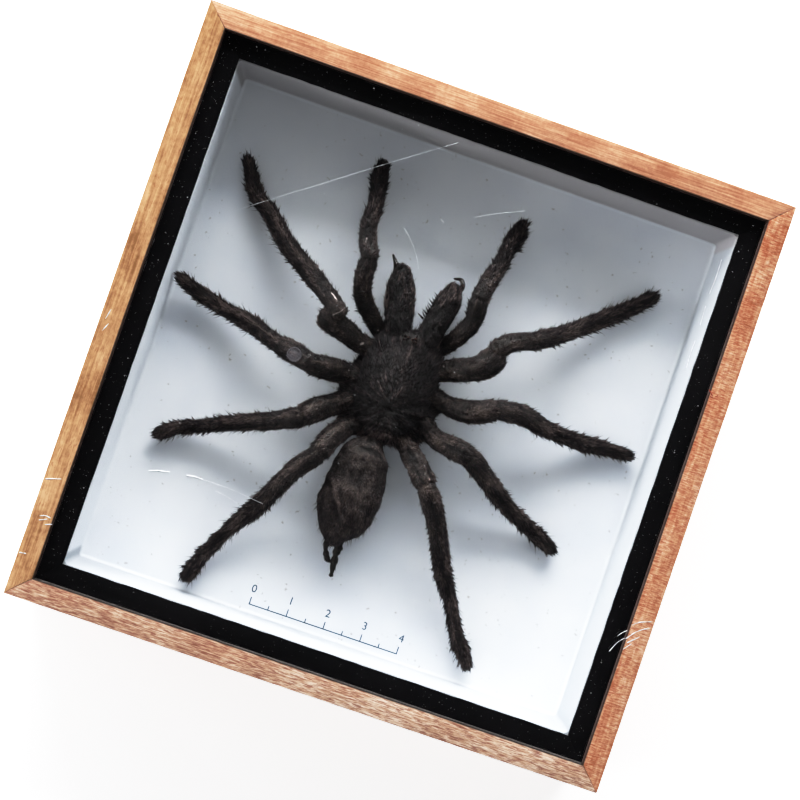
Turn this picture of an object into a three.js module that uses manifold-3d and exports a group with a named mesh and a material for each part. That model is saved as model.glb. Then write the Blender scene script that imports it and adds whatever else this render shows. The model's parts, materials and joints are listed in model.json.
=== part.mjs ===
// A tarantula mounted in a shallow wooden display box with a glass front.
// Millimetres, +Z up. The box lies on its back: the origin is the centre of the back face,
// +X runs along the bottom rail and +Y towards the top rail, where the spider's head points.
import * as THREE from 'three';
import { mergeVertices } from 'three/addons/utils/BufferGeometryUtils.js';
import Module from 'manifold-3d';

// The box
const outerSide = 152;
const boxDepth = 32;
const railWidth = 5.6;
const linerWidth = 5.2;
const mitreGap = 0.3;
const fitGap = 0.2;

// Heights of the layers, from the back face up
const panelBack = 1.6;
const panelThickness = 3;
const backingThickness = 5;
const glassRecess = 0.8;
const glassThickness = 2;
const matThickness = 0.4;

// Nails and hanger
const nailShank = 1;
const nailHole = 1.6;
const nailHead = 2.6;
const headThickness = 0.4;
const panelNailLength = 12;
const panelNailOffset = 35;
const hangerLength = 44;
const hangerHeight = 9;
const hangerThickness = 0.8;
const hangerY = 52;
const hangerNailOffset = 18;
const hangerNailLength = 3.2;
const toothCount = 9;
const toothDepth = 1.8;
const rodSides = 8;

// The spider
const bodyGap = 0.3;
const limbSides = 8;
const bodySides = 16;
const smallSides = 6;
const limbRoundness = 0.92;

const innerSide = outerSide - 2 * railWidth;
const wellSide = innerSide - 2 * linerWidth;
const panelTop = panelBack + panelThickness;
const backingTop = panelTop + backingThickness;
const glassTop = boxDepth - glassRecess;
const glassBottom = glassTop - glassThickness;
const linerTop = glassBottom - matThickness;

const finishes = {
  tanWood: { color: 0xd6a573, roughness: 0.6 },
  orangeWood: { color: 0xcb9657, roughness: 0.6 },
  redWood: { color: 0xc2824f, roughness: 0.6 },
  pinkWood: { color: 0xb98a6c, roughness: 0.65 },
  whiteLiner: { color: 0xe6e9ea, roughness: 0.8 },
  blackMat: { color: 0x0c0a0a, roughness: 0.7 },
  whiteBacking: { color: 0xe8ebee, roughness: 0.9 },
  plywood: { color: 0xb9946a, roughness: 0.8 },
  zincPlate: { color: 0xa9a79f, roughness: 0.4, metalness: 1 },
  nailSteel: { color: 0x8d8c88, roughness: 0.45, metalness: 1 },
  clearGlass: { color: 0xdfe8e8, roughness: 0.05, transparent: true, opacity: 0.25 },
  carapace: { color: 0x241c17, roughness: 0.7 },
  limb: { color: 0x2b211b, roughness: 0.75 },
  abdomen: { color: 0x1d1613, roughness: 0.9 },
  fang: { color: 0x0b0a0c, roughness: 0.2 },
};

const group = new THREE.Group();

function addPiece(name, geometry, finish) {
  const material = new THREE.MeshStandardMaterial(finishes[finish]);
  const piece = new THREE.Mesh(geometry, material);
  piece.name = name;
  group.add(piece);
  return piece;
}

// --- joining and cutting solids ---

const manifold = await Module();
manifold.setup();

function toSolid(geometry) {
  const bare = geometry.clone();
  bare.deleteAttribute('normal');
  bare.deleteAttribute('uv');
  const merged = mergeVertices(bare, 1e-4);
  return new manifold.Manifold(new manifold.Mesh({
    numProp: 3,
    vertProperties: new Float32Array(merged.attributes.position.array),
    triVerts: new Uint32Array(merged.index.array),
  }));
}

function toGeometry(solid) {
  const mesh = solid.getMesh();
  const geometry = new THREE.BufferGeometry();
  geometry.setAttribute('position', new THREE.BufferAttribute(mesh.vertProperties, 3));
  geometry.setIndex(new THREE.BufferAttribute(mesh.triVerts, 1));
  geometry.computeVertexNormals();
  return geometry;
}

// Cuts the tools away and keeps the largest body that is left.
function cutAway(solid, tools) {
  const cut = tools.reduce((left, tool) => left.subtract(tool), solid);
  return cut.decompose().sort((a, b) => b.volume() - a.volume())[0];
}

function slab(width, length, low, high) {
  const box = new THREE.BoxGeometry(width, length, high - low);
  return box.translate(0, 0, (low + high) / 2);
}

function upright(radius, low, high, x, y) {
  const rod = new THREE.CylinderGeometry(radius, radius, high - low, rodSides);
  return rod.rotateX(Math.PI / 2).translate(x, y, (low + high) / 2);
}

// --- the box ---

const sides = ['bottom', 'right', 'top', 'left'];

// A strip with mitred ends, running along X at the bottom side of a square.
function mitredStrip(outer, width, low, high) {
  const half = outer / 2 - mitreGap / 2;
  const outline = new THREE.Shape([
    new THREE.Vector2(-half, -outer / 2),
    new THREE.Vector2(half, -outer / 2),
    new THREE.Vector2(half - width, -outer / 2 + width),
    new THREE.Vector2(-half + width, -outer / 2 + width),
  ]);
  const strip = new THREE.ExtrudeGeometry(outline, { depth: high - low, bevelEnabled: false });
  return strip.translate(0, 0, low);
}

function addRails() {
  const woods = { bottom: 'pinkWood', right: 'redWood', top: 'tanWood', left: 'orangeWood' };
  sides.forEach((side, turn) => {
    const rail = addPiece(`rail_${side}`, mitredStrip(outerSide, railWidth, 0, boxDepth), woods[side]);
    rail.rotation.z = turn * Math.PI / 2;
  });
}

function addMats() {
  const outer = innerSide - 2 * fitGap;
  const width = linerWidth - fitGap;
  sides.forEach((side, turn) => {
    const mat = addPiece(`mat_${side}`, mitredStrip(outer, width, linerTop, glassBottom), 'blackMat');
    mat.rotation.z = turn * Math.PI / 2;
  });
}

// Nails go up through the back panel, two into each liner strip.
function panelNailSpots() {
  const reach = (innerSide - linerWidth) / 2;
  const spots = [];
  for (const edge of [-reach, reach]) {
    for (const along of [-panelNailOffset, panelNailOffset]) {
      spots.push([along, edge], [edge, along]);
    }
  }
  return spots;
}

const hangerNailSpots = [[-hangerNailOffset, hangerY], [hangerNailOffset, hangerY]];

function nail(spot, headTop, length) {
  const shank = toSolid(upright(nailShank / 2, headTop - headThickness, headTop + length, ...spot));
  const head = toSolid(upright(nailHead / 2, headTop - headThickness, headTop, ...spot));
  return shank.add(head);
}

function nailHoles(spots, low, high) {
  return spots.map((spot) => toSolid(upright(nailHole / 2, low, high, ...spot)));
}

function addLiners() {
  const holes = nailHoles(panelNailSpots(), panelTop - 1, panelBack + panelNailLength + 0.5);
  const centre = (innerSide - linerWidth) / 2;
  const longSide = innerSide - 2 * fitGap;
  const shortSide = wellSide - 2 * fitGap;
  const thickness = linerWidth - fitGap;
  const shift = centre - fitGap / 2;
  const strips = {
    bottom: slab(longSide, thickness, panelTop, linerTop).translate(0, -shift, 0),
    top: slab(longSide, thickness, panelTop, linerTop).translate(0, shift, 0),
    left: slab(thickness, shortSide, panelTop, linerTop).translate(-shift, 0, 0),
    right: slab(thickness, shortSide, panelTop, linerTop).translate(shift, 0, 0),
  };
  for (const [side, strip] of Object.entries(strips)) {
    addPiece(`liner_${side}`, toGeometry(cutAway(toSolid(strip), holes)), 'whiteLiner');
  }
}

function addLayers() {
  const clearSide = innerSide - 2 * fitGap;
  const holes = nailHoles([...panelNailSpots(), ...hangerNailSpots], 0, panelTop + 1);
  const panel = toSolid(slab(clearSide, clearSide, panelBack, panelTop));
  addPiece('back_panel', toGeometry(cutAway(panel, holes)), 'plywood');
  const backingSide = wellSide - 2 * fitGap;
  addPiece('backing_board', slab(backingSide, backingSide, panelTop, backingTop), 'whiteBacking');
  addPiece('glass_pane', slab(clearSide, clearSide, glassBottom, glassTop), 'clearGlass');
}

function addPanelNails() {
  panelNailSpots().forEach((spot, i) => {
    addPiece(`panel_nail_${i + 1}`, toGeometry(nail(spot, panelBack, panelNailLength)), 'nailSteel');
  });
}

// A flat sawtooth hanger, its teeth along the lower edge, nailed near the top of the back.
function addHanger() {
  const half = hangerLength / 2;
  const low = hangerY - hangerHeight / 2;
  const high = hangerY + hangerHeight / 2;
  const toothSpan = 2 * (hangerNailOffset - nailHead) / toothCount;
  const outline = new THREE.Shape();
  outline.moveTo(-half, low + toothDepth);
  outline.lineTo(-toothSpan * toothCount / 2, low);
  for (let i = 0; i < toothCount; i += 1) {
    const start = toothSpan * (i - toothCount / 2);
    outline.lineTo(start + toothSpan / 2, low + toothDepth);
    outline.lineTo(start + toothSpan, low);
  }
  outline.lineTo(half, low + toothDepth);
  outline.lineTo(half, high - toothDepth);
  outline.lineTo(half - toothDepth, high);
  outline.lineTo(toothDepth - half, high);
  outline.lineTo(-half, high - toothDepth);
  outline.closePath();
  for (const [x, y] of hangerNailSpots) {
    outline.holes.push(new THREE.Path().absarc(x, y, nailHole / 2, 0, 2 * Math.PI, true));
  }
  const plate = new THREE.ExtrudeGeometry(outline, {
    depth: hangerThickness, bevelEnabled: false, curveSegments: 6,
  });
  const plateBack = panelBack - hangerThickness;
  addPiece('hanger_plate', plate.translate(0, 0, plateBack), 'zincPlate');
  ['left', 'right'].forEach((side, i) => {
    const solid = nail(hangerNailSpots[i], plateBack, hangerNailLength);
    addPiece(`hanger_nail_${side}`, toGeometry(solid), 'nailSteel');
  });
}

// --- the spider ---
// Every part of the body is a tube along a smooth line through stations [x, y, z, width, height].
// A limb's section is nearly round, so its stations leave the height out.

const trunk = {
  prosoma: [
    [-2.8, -10, 16, 8, 6], [-2.8, -7, 16.2, 15.6, 9], [-2.6, -1, 16.3, 19.4, 10.4],
    [-2.5, 6, 16.2, 19.8, 10.6], [-2.4, 12, 16, 18, 9.4], [-2.4, 15, 15.8, 14, 7.4],
  ],
  abdomen: [
    [-3, -12.6, 16, 5, 5], [-3.9, -16, 16.4, 11.6, 9.6], [-4, -21, 16.7, 14.4, 11.4],
    [-4.2, -28, 16.7, 15.6, 11.8], [-4.4, -33.5, 16.4, 13.8, 10.8], [-4.8, -37.6, 16, 8.6, 8],
    [-4.7, -39.4, 15.6, 4.4, 5],
  ],
};

const jaws = {
  chelicera_left: [
    [-6.6, 14.5, 17, 6.6, 7], [-7.5, 19, 17.2, 7.6, 8.6], [-8.8, 24, 16.8, 7.7, 8.4],
    [-9.8, 27.5, 16.2, 7.4, 7.6], [-10.4, 30.6, 15.4, 4.6, 5.4],
  ],
  chelicera_right: [
    [1.2, 14.5, 17, 6.2, 7], [1.7, 19, 17.2, 6.8, 8.6], [2.6, 24, 16.8, 7.1, 8.4],
    [3.4, 27.5, 16.2, 6.4, 7.6], [3.5, 30.4, 15.4, 4.2, 5.4],
  ],
};

const fangs = {
  fang_left: [[-11.8, 30, 14.6, 1.6], [-12.6, 32, 14.4, 1.3], [-14, 34, 13.4, 0.6]],
  fang_right: [
    [4.6, 29.8, 14.6, 1.6], [5.4, 32, 14.4, 1.3], [4.6, 33.6, 13.8, 1.1], [2.8, 33.4, 13.2, 0.6],
  ],
};

const spinnerets = {
  spinneret_left: [
    [-6, -38.6, 15.4, 1.7], [-5.9, -42, 15, 1.5], [-4.6, -44.6, 14.4, 1.4], [-3.2, -45.2, 14, 1],
  ],
  spinneret_right: [
    [-2.7, -38.6, 15.4, 1.8], [-2.9, -42.5, 14.8, 2.1], [-2.6, -45.4, 14.2, 1.6], [-2.2, -48.4, 13.8, 1],
  ],
};

// A limb is two tubes that meet at the knee: the thigh runs from the coxa to the femur's end,
// the shank from the patella to the claws.
const limbs = {
  palp_left: {
    thigh: [
      [-10.5, 14, 14, 4.4], [-14, 17, 15.6, 4.8], [-17.5, 20.5, 18.4, 4.8],
      [-19, 25, 21, 4.9], [-19.2, 29, 22.5, 5.1],
    ],
    shank: [
      [-19.4, 30.8, 23, 4.9], [-20.5, 33, 22.2, 4.9], [-21.9, 36.3, 20.5, 4.4], [-22.2, 40, 19, 4.3],
      [-22.3, 45, 17, 3.7], [-23.5, 50.4, 15, 4.7], [-23.9, 56, 13.6, 2.8],
    ],
  },
  palp_right: {
    thigh: [
      [4.2, 14.4, 14, 4.2], [6.8, 17, 15.6, 4.5], [8.8, 20, 18.4, 4.7],
      [10.4, 23.8, 21, 4.9], [10.1, 28.5, 22.7, 5.5],
    ],
    shank: [
      [10, 30, 23, 5], [11, 34.6, 21, 4.9], [12.4, 39.8, 19, 4.1], [12.9, 43.5, 17.5, 4],
      [14.2, 48.3, 15.5, 4.7], [15.1, 53, 14, 2.8],
    ],
  },
  leg_left_1: {
    thigh: [[-11, 9.4, 15, 5.2], [-15.5, 10, 16, 5.8], [-19.5, 11.4, 18.8, 6.6], [-24.2, 13, 20.6, 6.8]],
    shank: [
      [-22, 15.2, 22.6, 5], [-29.5, 20.4, 20.5, 5.1], [-41, 28, 16, 4.7], [-47.5, 34, 14, 4.4],
      [-52, 37, 12.6, 4], [-57.4, 45.6, 11.8, 3],
    ],
  },
  leg_left_2: {
    thigh: [[-11, 2, 15, 5.4], [-16, 1.5, 16, 5.8], [-20, 1, 20, 6.2], [-24, 0.6, 22.6, 6]],
    shank: [
      [-25.4, 0.8, 22.9, 5.6], [-31, 2.2, 21.5, 5.5], [-35, 3, 19.6, 4.5], [-43.5, 5.6, 16, 4.4],
      [-48.3, 6.4, 14.5, 3.7], [-55.8, 8.1, 13.4, 3.9], [-63.8, 10.8, 15, 2.8],
    ],
  },
  leg_left_3: {
    thigh: [[-11, -4, 15, 5.2], [-15.5, -6.8, 16, 5.9], [-19, -9.3, 20, 6.5], [-21.5, -11.8, 22.7, 6.2]],
    shank: [
      [-23, -13, 22.9, 5.6], [-30.2, -16.5, 19.5, 4.8], [-38.3, -19.8, 16, 3.9], [-44.3, -22.6, 14, 3.3],
      [-50.8, -25.4, 12.5, 3.5], [-55, -28.2, 12, 3.6], [-57, -29.3, 11.8, 2.6],
    ],
  },
  leg_left_4: {
    thigh: [[-7.4, -8.4, 15, 5], [-11, -11.5, 16, 5.5], [-13.8, -15.5, 20, 6], [-15.2, -19, 22.6, 6]],
    shank: [
      [-15.8, -20.5, 22.9, 5.5], [-20, -26.2, 21.5, 5], [-23.8, -34, 18, 4.8], [-26.8, -39.6, 16, 4.7],
      [-30.4, -45.3, 14, 3.5], [-34.6, -54, 12.5, 3.4], [-36.2, -58.7, 12, 3.9], [-37, -62, 11.8, 2.6],
    ],
  },
  leg_right_1: {
    thigh: [
      [5.4, 9, 15, 5.2], [9.6, 10.8, 16.4, 6.2], [13, 12, 19.4, 6.5],
      [16.4, 14, 21.6, 7], [18.6, 16.8, 22, 7],
    ],
    shank: [
      [18.4, 19.4, 22.8, 5.6], [21.5, 22.1, 22.4, 5], [28, 25.2, 20, 4.8], [36.2, 31, 16, 4.3],
      [42.5, 36.3, 14, 4.4], [48.5, 41.5, 12.6, 4], [54, 46.8, 11.8, 2.8],
    ],
  },
  leg_right_2: {
    thigh: [
      [6, 3.4, 15, 5.2], [11, 2.2, 16, 5.2], [15, 1.9, 19, 5.8],
      [19.2, 3, 22, 6.4], [22, 4.4, 22.8, 6],
    ],
    shank: [
      [23.5, 5.2, 23, 5.4], [31, 5.7, 20, 5.3], [36, 4.7, 17.8, 4.8], [40.5, 4.3, 16, 3.9],
      [47.6, 4.3, 13.6, 4.2], [52.2, 4.7, 12.5, 3.9], [61.4, 5.4, 11.8, 2.8],
    ],
  },
  leg_right_3: {
    thigh: [
      [5.6, -3.6, 15, 5], [10.6, -6.5, 16.3, 5.2], [14.4, -7.5, 19.5, 5.6],
      [18.1, -8, 22.2, 6], [20, -8.4, 22.8, 5.9],
    ],
    shank: [
      [21.5, -9, 23, 5.6], [26.3, -12, 20, 5.2], [32, -16, 16.5, 4.3], [36.4, -18.4, 14.6, 3.7],
      [42, -20.8, 12.8, 3.7], [46.3, -22.8, 12, 4], [50.2, -24.5, 11.8, 2.6],
    ],
  },
  leg_right_4: {
    thigh: [[2.4, -8.4, 15, 5], [6, -12, 16, 5.3], [9.2, -15, 19.5, 6], [12, -18, 22.3, 6]],
    shank: [
      [13.2, -19.5, 22.8, 5.6], [17.3, -25.4, 21, 5.4], [20, -30, 19, 4.7], [24, -38, 16, 4.7],
      [29, -45.4, 13.8, 3.4], [32.8, -52.4, 12.5, 3.5], [35.7, -55.9, 12, 3.9], [39, -60, 11.8, 2.6],
    ],
  },
};

// A closed tube: rings of points square to the line, and one point beyond each end.
function makeTube(stations, around, steps, grow = 0) {
  const line = new THREE.CatmullRomCurve3(stations.map(([x, y, z]) => new THREE.Vector3(x, y, z)));
  const girth = new THREE.CatmullRomCurve3(
    stations.map(([, , , w, h = w * limbRoundness]) => new THREE.Vector3(w, h, 0)),
  );
  const up = new THREE.Vector3(0, 0, 1);
  const points = [];
  const faces = [];
  for (let i = 0; i <= steps; i += 1) {
    const t = i / steps;
    const size = girth.getPoint(t);
    const ahead = line.getTangent(t);
    const across = new THREE.Vector3().crossVectors(ahead, up).normalize();
    const over = new THREE.Vector3().crossVectors(across, ahead);
    for (let j = 0; j < around; j += 1) {
      const angle = 2 * Math.PI * (j + 0.5) / around;
      points.push(line.getPoint(t)
        .addScaledVector(across, (size.x / 2 + grow) * Math.cos(angle))
        .addScaledVector(over, (size.y / 2 + grow) * Math.sin(angle)));
    }
  }
  const lastRing = steps * around;
  const startPole = points.length;
  const endPole = startPole + 1;
  for (const [end, sign] of [[0, -1], [1, 1]]) {
    const reach = girth.getPoint(end).y / 4 + grow;
    points.push(line.getPoint(end).addScaledVector(line.getTangent(end), sign * reach));
  }
  for (let j = 0; j < around; j += 1) {
    const next = (j + 1) % around;
    faces.push([startPole, j, next], [endPole, lastRing + next, lastRing + j]);
    for (let ring = 0; ring < lastRing; ring += around) {
      const a = ring + j;
      const b = ring + next;
      faces.push([b, a, a + around], [b, a + around, b + around]);
    }
  }
  const geometry = new THREE.BufferGeometry().setFromPoints(points);
  geometry.setIndex(faces.flat());
  return toSolid(geometry);
}

function bodyTube(stations) {
  return (grow) => makeTube(stations, bodySides, 2 * stations.length, grow);
}

function limbTube({ thigh, shank }) {
  return (grow) => {
    const upper = makeTube(thigh, limbSides, 2 * thigh.length, grow);
    const lower = makeTube(shank, limbSides, 2 * shank.length, grow);
    return upper.add(lower);
  };
}

function smallTube(stations) {
  return (grow) => makeTube(stations, smallSides, 2 * stations.length, grow);
}

// Each piece is cut clear of those that were placed before it.
function addSpider() {
  const taken = [];
  const place = (name, tube, finish) => {
    addPiece(name, toGeometry(cutAway(tube(0), taken)), finish);
    taken.push(tube(bodyGap));
  };
  place('prosoma', bodyTube(trunk.prosoma), 'carapace');
  place('abdomen', bodyTube(trunk.abdomen), 'abdomen');
  for (const [name, stations] of Object.entries(jaws)) place(name, bodyTube(stations), 'carapace');
  for (const [name, stations] of Object.entries(fangs)) place(name, smallTube(stations), 'fang');
  for (const [name, stations] of Object.entries(spinnerets)) place(name, smallTube(stations), 'abdomen');
  for (const [name, limb] of Object.entries(limbs)) place(name, limbTube(limb), 'limb');
}

addRails();
addLiners();
addLayers();
addMats();
addPanelNails();
addHanger();
addSpider();

export default group;
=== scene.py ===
import json
import math

import bpy
import numpy as np
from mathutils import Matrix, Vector, noise

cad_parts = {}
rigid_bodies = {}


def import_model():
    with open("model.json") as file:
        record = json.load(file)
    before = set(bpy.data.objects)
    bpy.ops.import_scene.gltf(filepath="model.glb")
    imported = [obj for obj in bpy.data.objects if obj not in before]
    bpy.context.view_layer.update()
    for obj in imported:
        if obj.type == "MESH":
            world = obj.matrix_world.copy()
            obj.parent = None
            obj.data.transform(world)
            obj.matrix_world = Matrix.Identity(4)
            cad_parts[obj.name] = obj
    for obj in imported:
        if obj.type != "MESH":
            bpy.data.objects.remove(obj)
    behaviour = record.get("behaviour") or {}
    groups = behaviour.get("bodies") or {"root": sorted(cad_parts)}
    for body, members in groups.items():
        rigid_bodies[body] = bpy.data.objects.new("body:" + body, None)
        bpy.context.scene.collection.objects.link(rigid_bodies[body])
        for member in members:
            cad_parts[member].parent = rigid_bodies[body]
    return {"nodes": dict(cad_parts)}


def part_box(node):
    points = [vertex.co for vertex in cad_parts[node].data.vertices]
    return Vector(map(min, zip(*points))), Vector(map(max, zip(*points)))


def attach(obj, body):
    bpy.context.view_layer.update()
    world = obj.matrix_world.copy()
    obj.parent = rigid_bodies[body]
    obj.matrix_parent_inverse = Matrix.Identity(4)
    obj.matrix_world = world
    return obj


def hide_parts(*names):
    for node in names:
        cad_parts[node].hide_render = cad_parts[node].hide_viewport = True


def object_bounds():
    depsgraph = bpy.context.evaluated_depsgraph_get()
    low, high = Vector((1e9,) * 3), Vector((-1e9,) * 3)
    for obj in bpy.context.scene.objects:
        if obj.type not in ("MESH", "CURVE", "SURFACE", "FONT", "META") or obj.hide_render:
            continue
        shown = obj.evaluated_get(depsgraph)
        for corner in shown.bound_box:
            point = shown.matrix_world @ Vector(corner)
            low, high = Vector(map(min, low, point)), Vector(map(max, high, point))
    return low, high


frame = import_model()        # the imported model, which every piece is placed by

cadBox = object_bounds()
mm = 0.001
railFoot = cadBox[0].z
railTop = cadBox[1].z
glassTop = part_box("glass_pane")[1].z
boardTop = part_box("backing_board")[1].z


cameraLooks = {
    "place": (-14.105, -7.739, 397.003),
    "turn": (0.01889, -0.03625, 0.33340),
    "lens": 67.5,
    "sensor": 36,
}
# azimuth from +X and height above the horizon in degrees, width and height in metres, power in watts,
# and what it lights: all, the inside (not the rails) or the rails only
lightLooks = {
    "topWindow": (96, 31, 1.3, 1.3, 0.16, 10.9, "all"),
    "middleWindow": (96, 21, 1.3, 1.4, 0.14, 10.4, "all"),
    "lowWindow": (94, 12, 1.3, 1.7, 0.16, 18.5, "inside"),
    "cornerWindow": (142, 18, 1.3, 0.6, 0.2, 3.6, "inside"),
    "leftWindow": (186, 14, 1.3, 1.3, 0.2, 13.8, "inside"),
    "railWindow": (186, 48, 1.3, 1.0, 0.4, 11.0, "rails"),
}
# how brightness is shown: dark tones a little darker, light ones lighter
toneLooks = ((0.1, 0.085), (0.2, 0.185), (0.3, 0.33), (0.5, 0.65), (0.65, 0.82), (0.8, 0.93))
worldLooks = {"horizon": (0.30, 0.31, 0.33, 1), "zenith": (0.02, 0.02, 0.022, 1), "strength": 0.92}


def setCamera():
    bpy.ops.object.camera_add(location=[value * mm for value in cameraLooks["place"]])
    camera = bpy.context.object
    camera.name = "camera"
    camera.rotation_mode = "ZYX"
    camera.rotation_euler = cameraLooks["turn"]
    camera.data.lens = cameraLooks["lens"]
    camera.data.sensor_width = cameraLooks["sensor"]
    camera.data.clip_start = 0.01
    bpy.context.scene.camera = camera
    shown = bpy.context.scene.view_settings
    shown.view_transform = "Standard"
    shown.use_curve_mapping = True
    for tone in toneLooks:
        shown.curve_mapping.curves[3].points.new(*tone)
    shown.curve_mapping.update()


def setLights():
    target = Vector((0, 0, boardTop))
    for name, (azimuth, height, distance, width, depth, power, reach) in lightLooks.items():
        azimuth, height = math.radians(azimuth), math.radians(height)
        level = math.cos(height)
        way = Vector((level * math.cos(azimuth), level * math.sin(azimuth), math.sin(height)))
        bpy.ops.object.light_add(type="AREA", location=target + way * distance)
        light = bpy.context.object
        light.name = name
        light.rotation_euler = (-way).to_track_quat("-Z", "Y").to_euler()
        light.data.shape = "RECTANGLE"
        light.data.size = width
        light.data.size_y = depth
        light.data.energy = power


def shareLights():
    # the low lights would bleach the rails' upright sides
    for name, looks in lightLooks.items():
        if looks[-1] != "all":
            share = bpy.data.collections.new(name + "Share")
            for rail in woodLooks:
                share.objects.link(bpy.data.objects[rail])
            for entry in share.collection_objects:
                entry.light_linking.link_state = "INCLUDE" if looks[-1] == "rails" else "EXCLUDE"
            bpy.data.objects[name].light_linking.receiver_collection = share


def setWorld():
    world = bpy.data.worlds.new("room")
    bpy.context.scene.world = world
    world.use_nodes = True
    height = Wire(world.node_tree).node("TexCoord", out="Generated").axis("Z")
    shade = height.between(0.0, 0.5).blend(worldLooks["horizon"], worldLooks["zenith"])
    feed(world.node_tree.nodes["Background"], {"Color": shade, "Strength": worldLooks["strength"]})


class Wire:
    # one output of a shader node; arithmetic on it adds Math nodes

    def __init__(self, tree, socket=None):
        self.tree = tree
        self.socket = socket

    def node(self, kind, settings=None, inputs=None, out=0, first=False):
        made = self.tree.nodes.new("ShaderNode" + kind)
        for name, value in (settings or {}).items():
            if name == "stops":
                setStops(made.color_ramp, value)
            else:
                setattr(made, name, value)
        feed(made, inputs or {})
        if first:
            feed(made, {0: self})
        return Wire(self.tree, made.outputs[out])

    def maths(self, operation, one, other):
        return self.node("Math", {"operation": operation}, {0: one, 1: other})

    def __add__(self, other):
        return self.maths("ADD", self, other)

    def __sub__(self, other):
        return self.maths("SUBTRACT", self, other)

    def __rsub__(self, other):
        return self.maths("SUBTRACT", other, self)

    def __mul__(self, other):
        return self.maths("MULTIPLY", self, other)

    __radd__ = __add__
    __rmul__ = __mul__

    def axis(self, name):
        return self.node("SeparateXYZ", out=name, first=True)

    def kept(self, name):
        # a number kept on the mesh
        return self.node("Attribute", {"attribute_name": name}, out="Fac")

    def between(self, low, high):
        # 0 at low and 1 at high, smoothly
        return self.node("MapRange", {"interpolation_type": "SMOOTHSTEP"},
                         {"Value": self, "From Min": low, "From Max": high})

    def blend(self, low, high):
        # two colours mixed by this value
        return self.node("Mix", {"data_type": "RGBA"}, {0: self, 6: low, 7: high}, 2)

    def ramp(self, *stops):
        return self.node("ValToRGB", {"stops": stops}, {0: self})

    def tones(self, looks, *places):
        # a ramp from dark over mid to light, at these three places
        return self.ramp(*((at, tint(*looks[name])) for at, name in zip(places, ("dark", "mid", "light"))))

    def noise(self, scales, detail=2.0, roughness=0.5, distortion=0.0):
        # this place stretched to so many waves a millimetre along X, Y and Z
        spread = self.node("VectorMath", {"operation": "MULTIPLY"},
                           {0: self, 1: [scale / mm for scale in scales]})
        return self.node("TexNoise", {}, {"Vector": spread, "Scale": 1.0, "Detail": detail,
                                          "Roughness": roughness, "Distortion": distortion})


def feed(node, values):
    for name, value in values.items():
        if isinstance(value, Wire):
            value.tree.links.new(value.socket, node.inputs[name])
        else:
            node.inputs[name].default_value = value


def setStops(ramp, stops):
    while len(ramp.elements) < len(stops):
        ramp.elements.new(1.0)
    for element, (place, colour) in zip(ramp.elements, stops):
        element.position = place
        element.color = colour


def startFinish(name):
    material = bpy.data.materials.new(name)
    material.use_nodes = True
    place = Wire(material.node_tree).node("TexCoord", out="Object")
    return material, material.node_tree.nodes["Principled BSDF"], place


def tint(red, green, blue):
    # a colour as a paint chart gives it, 0 to 255, made linear
    values = [value / 255 for value in (red, green, blue)]
    return [v / 12.92 if v <= 0.04045 else ((v + 0.055) / 1.055) ** 2.4 for v in values] + [1.0]


def bumped(height, strength, distance):
    return height.node("Bump", {}, {"Height": height, "Strength": strength, "Distance": distance * mm})


def clearSelection():
    if bpy.context.object is not None and bpy.context.object.mode != "OBJECT":
        bpy.ops.object.mode_set(mode="OBJECT")
    bpy.ops.object.select_all(action="DESELECT")


def pickOnly(piece):
    clearSelection()
    piece.select_set(True)
    bpy.context.view_layer.objects.active = piece


def pickParts(piece, kind, chosen):
    # leaves the piece in edit mode with just these faces or edges selected
    pickOnly(piece)
    bpy.ops.object.mode_set(mode="EDIT")
    bpy.ops.mesh.select_mode(type=kind)
    bpy.ops.mesh.select_all(action="DESELECT")
    bpy.ops.object.mode_set(mode="OBJECT")
    (piece.data.polygons if kind == "FACE" else piece.data.edges).foreach_set("select", chosen)
    bpy.ops.object.mode_set(mode="EDIT")


def editAll(piece):
    # into edit mode with all of the piece selected
    pickOnly(piece)
    bpy.ops.object.mode_set(mode="EDIT")
    bpy.ops.mesh.select_all(action="SELECT")


def cutAcross(piece, way, places, **options):
    # the whole piece is cut by a plane at each of these places
    editAll(piece)
    for place in places:
        bpy.ops.mesh.select_all(action="SELECT")
        bpy.ops.mesh.bisect(plane_co=place, plane_no=way, **options)
    bpy.ops.object.mode_set(mode="OBJECT")


def modelBox(centre, size):
    clearSelection()
    bpy.ops.mesh.primitive_cube_add(size=1, location=centre)
    box = bpy.context.object
    box.scale = size
    applyPlace(box)
    return box


def applyAll(piece):
    pickOnly(piece)
    for modifier in list(piece.modifiers):
        bpy.ops.object.modifier_apply(modifier=modifier.name)


def applyPlace(piece):
    pickOnly(piece)
    bpy.ops.object.transform_apply(location=True, rotation=True, scale=True)


def subdivided(piece, levels):
    surface = piece.modifiers.new("subdivision", "SUBSURF")
    surface.levels = surface.render_levels = levels
    applyAll(piece)


def bevelled(piece, width, segments, angle=30):
    edge = piece.modifiers.new("bevel", "BEVEL")
    edge.width = width * mm
    edge.segments = segments
    edge.limit_method = "ANGLE"
    edge.angle_limit = math.radians(angle)
    applyAll(piece)


def copied(piece, name):
    again = piece.copy()
    again.data = piece.data.copy()
    again.name = again.data.name = name
    bpy.context.scene.collection.objects.link(again)
    return again


def pointsOf(piece):
    # its vertices in millimetres, one a row
    places = np.empty(len(piece.data.vertices) * 3)
    piece.data.vertices.foreach_get("co", places)
    return places.reshape(-1, 3) / mm


def setPoints(piece, places):
    piece.data.vertices.foreach_set("co", (places * mm).ravel())
    piece.data.update()


def setValues(piece, name, values):
    made = piece.data.attributes.new(name, "FLOAT", "POINT")
    made.data.foreach_set("value", np.asarray(values, float))


def valuesOf(piece, name):
    values = np.empty(len(piece.data.vertices))
    piece.data.attributes[name].data.foreach_get("value", values)
    return values


def noiseAt(places):
    return np.array([noise.noise(Vector(place)) for place in places])


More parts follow.
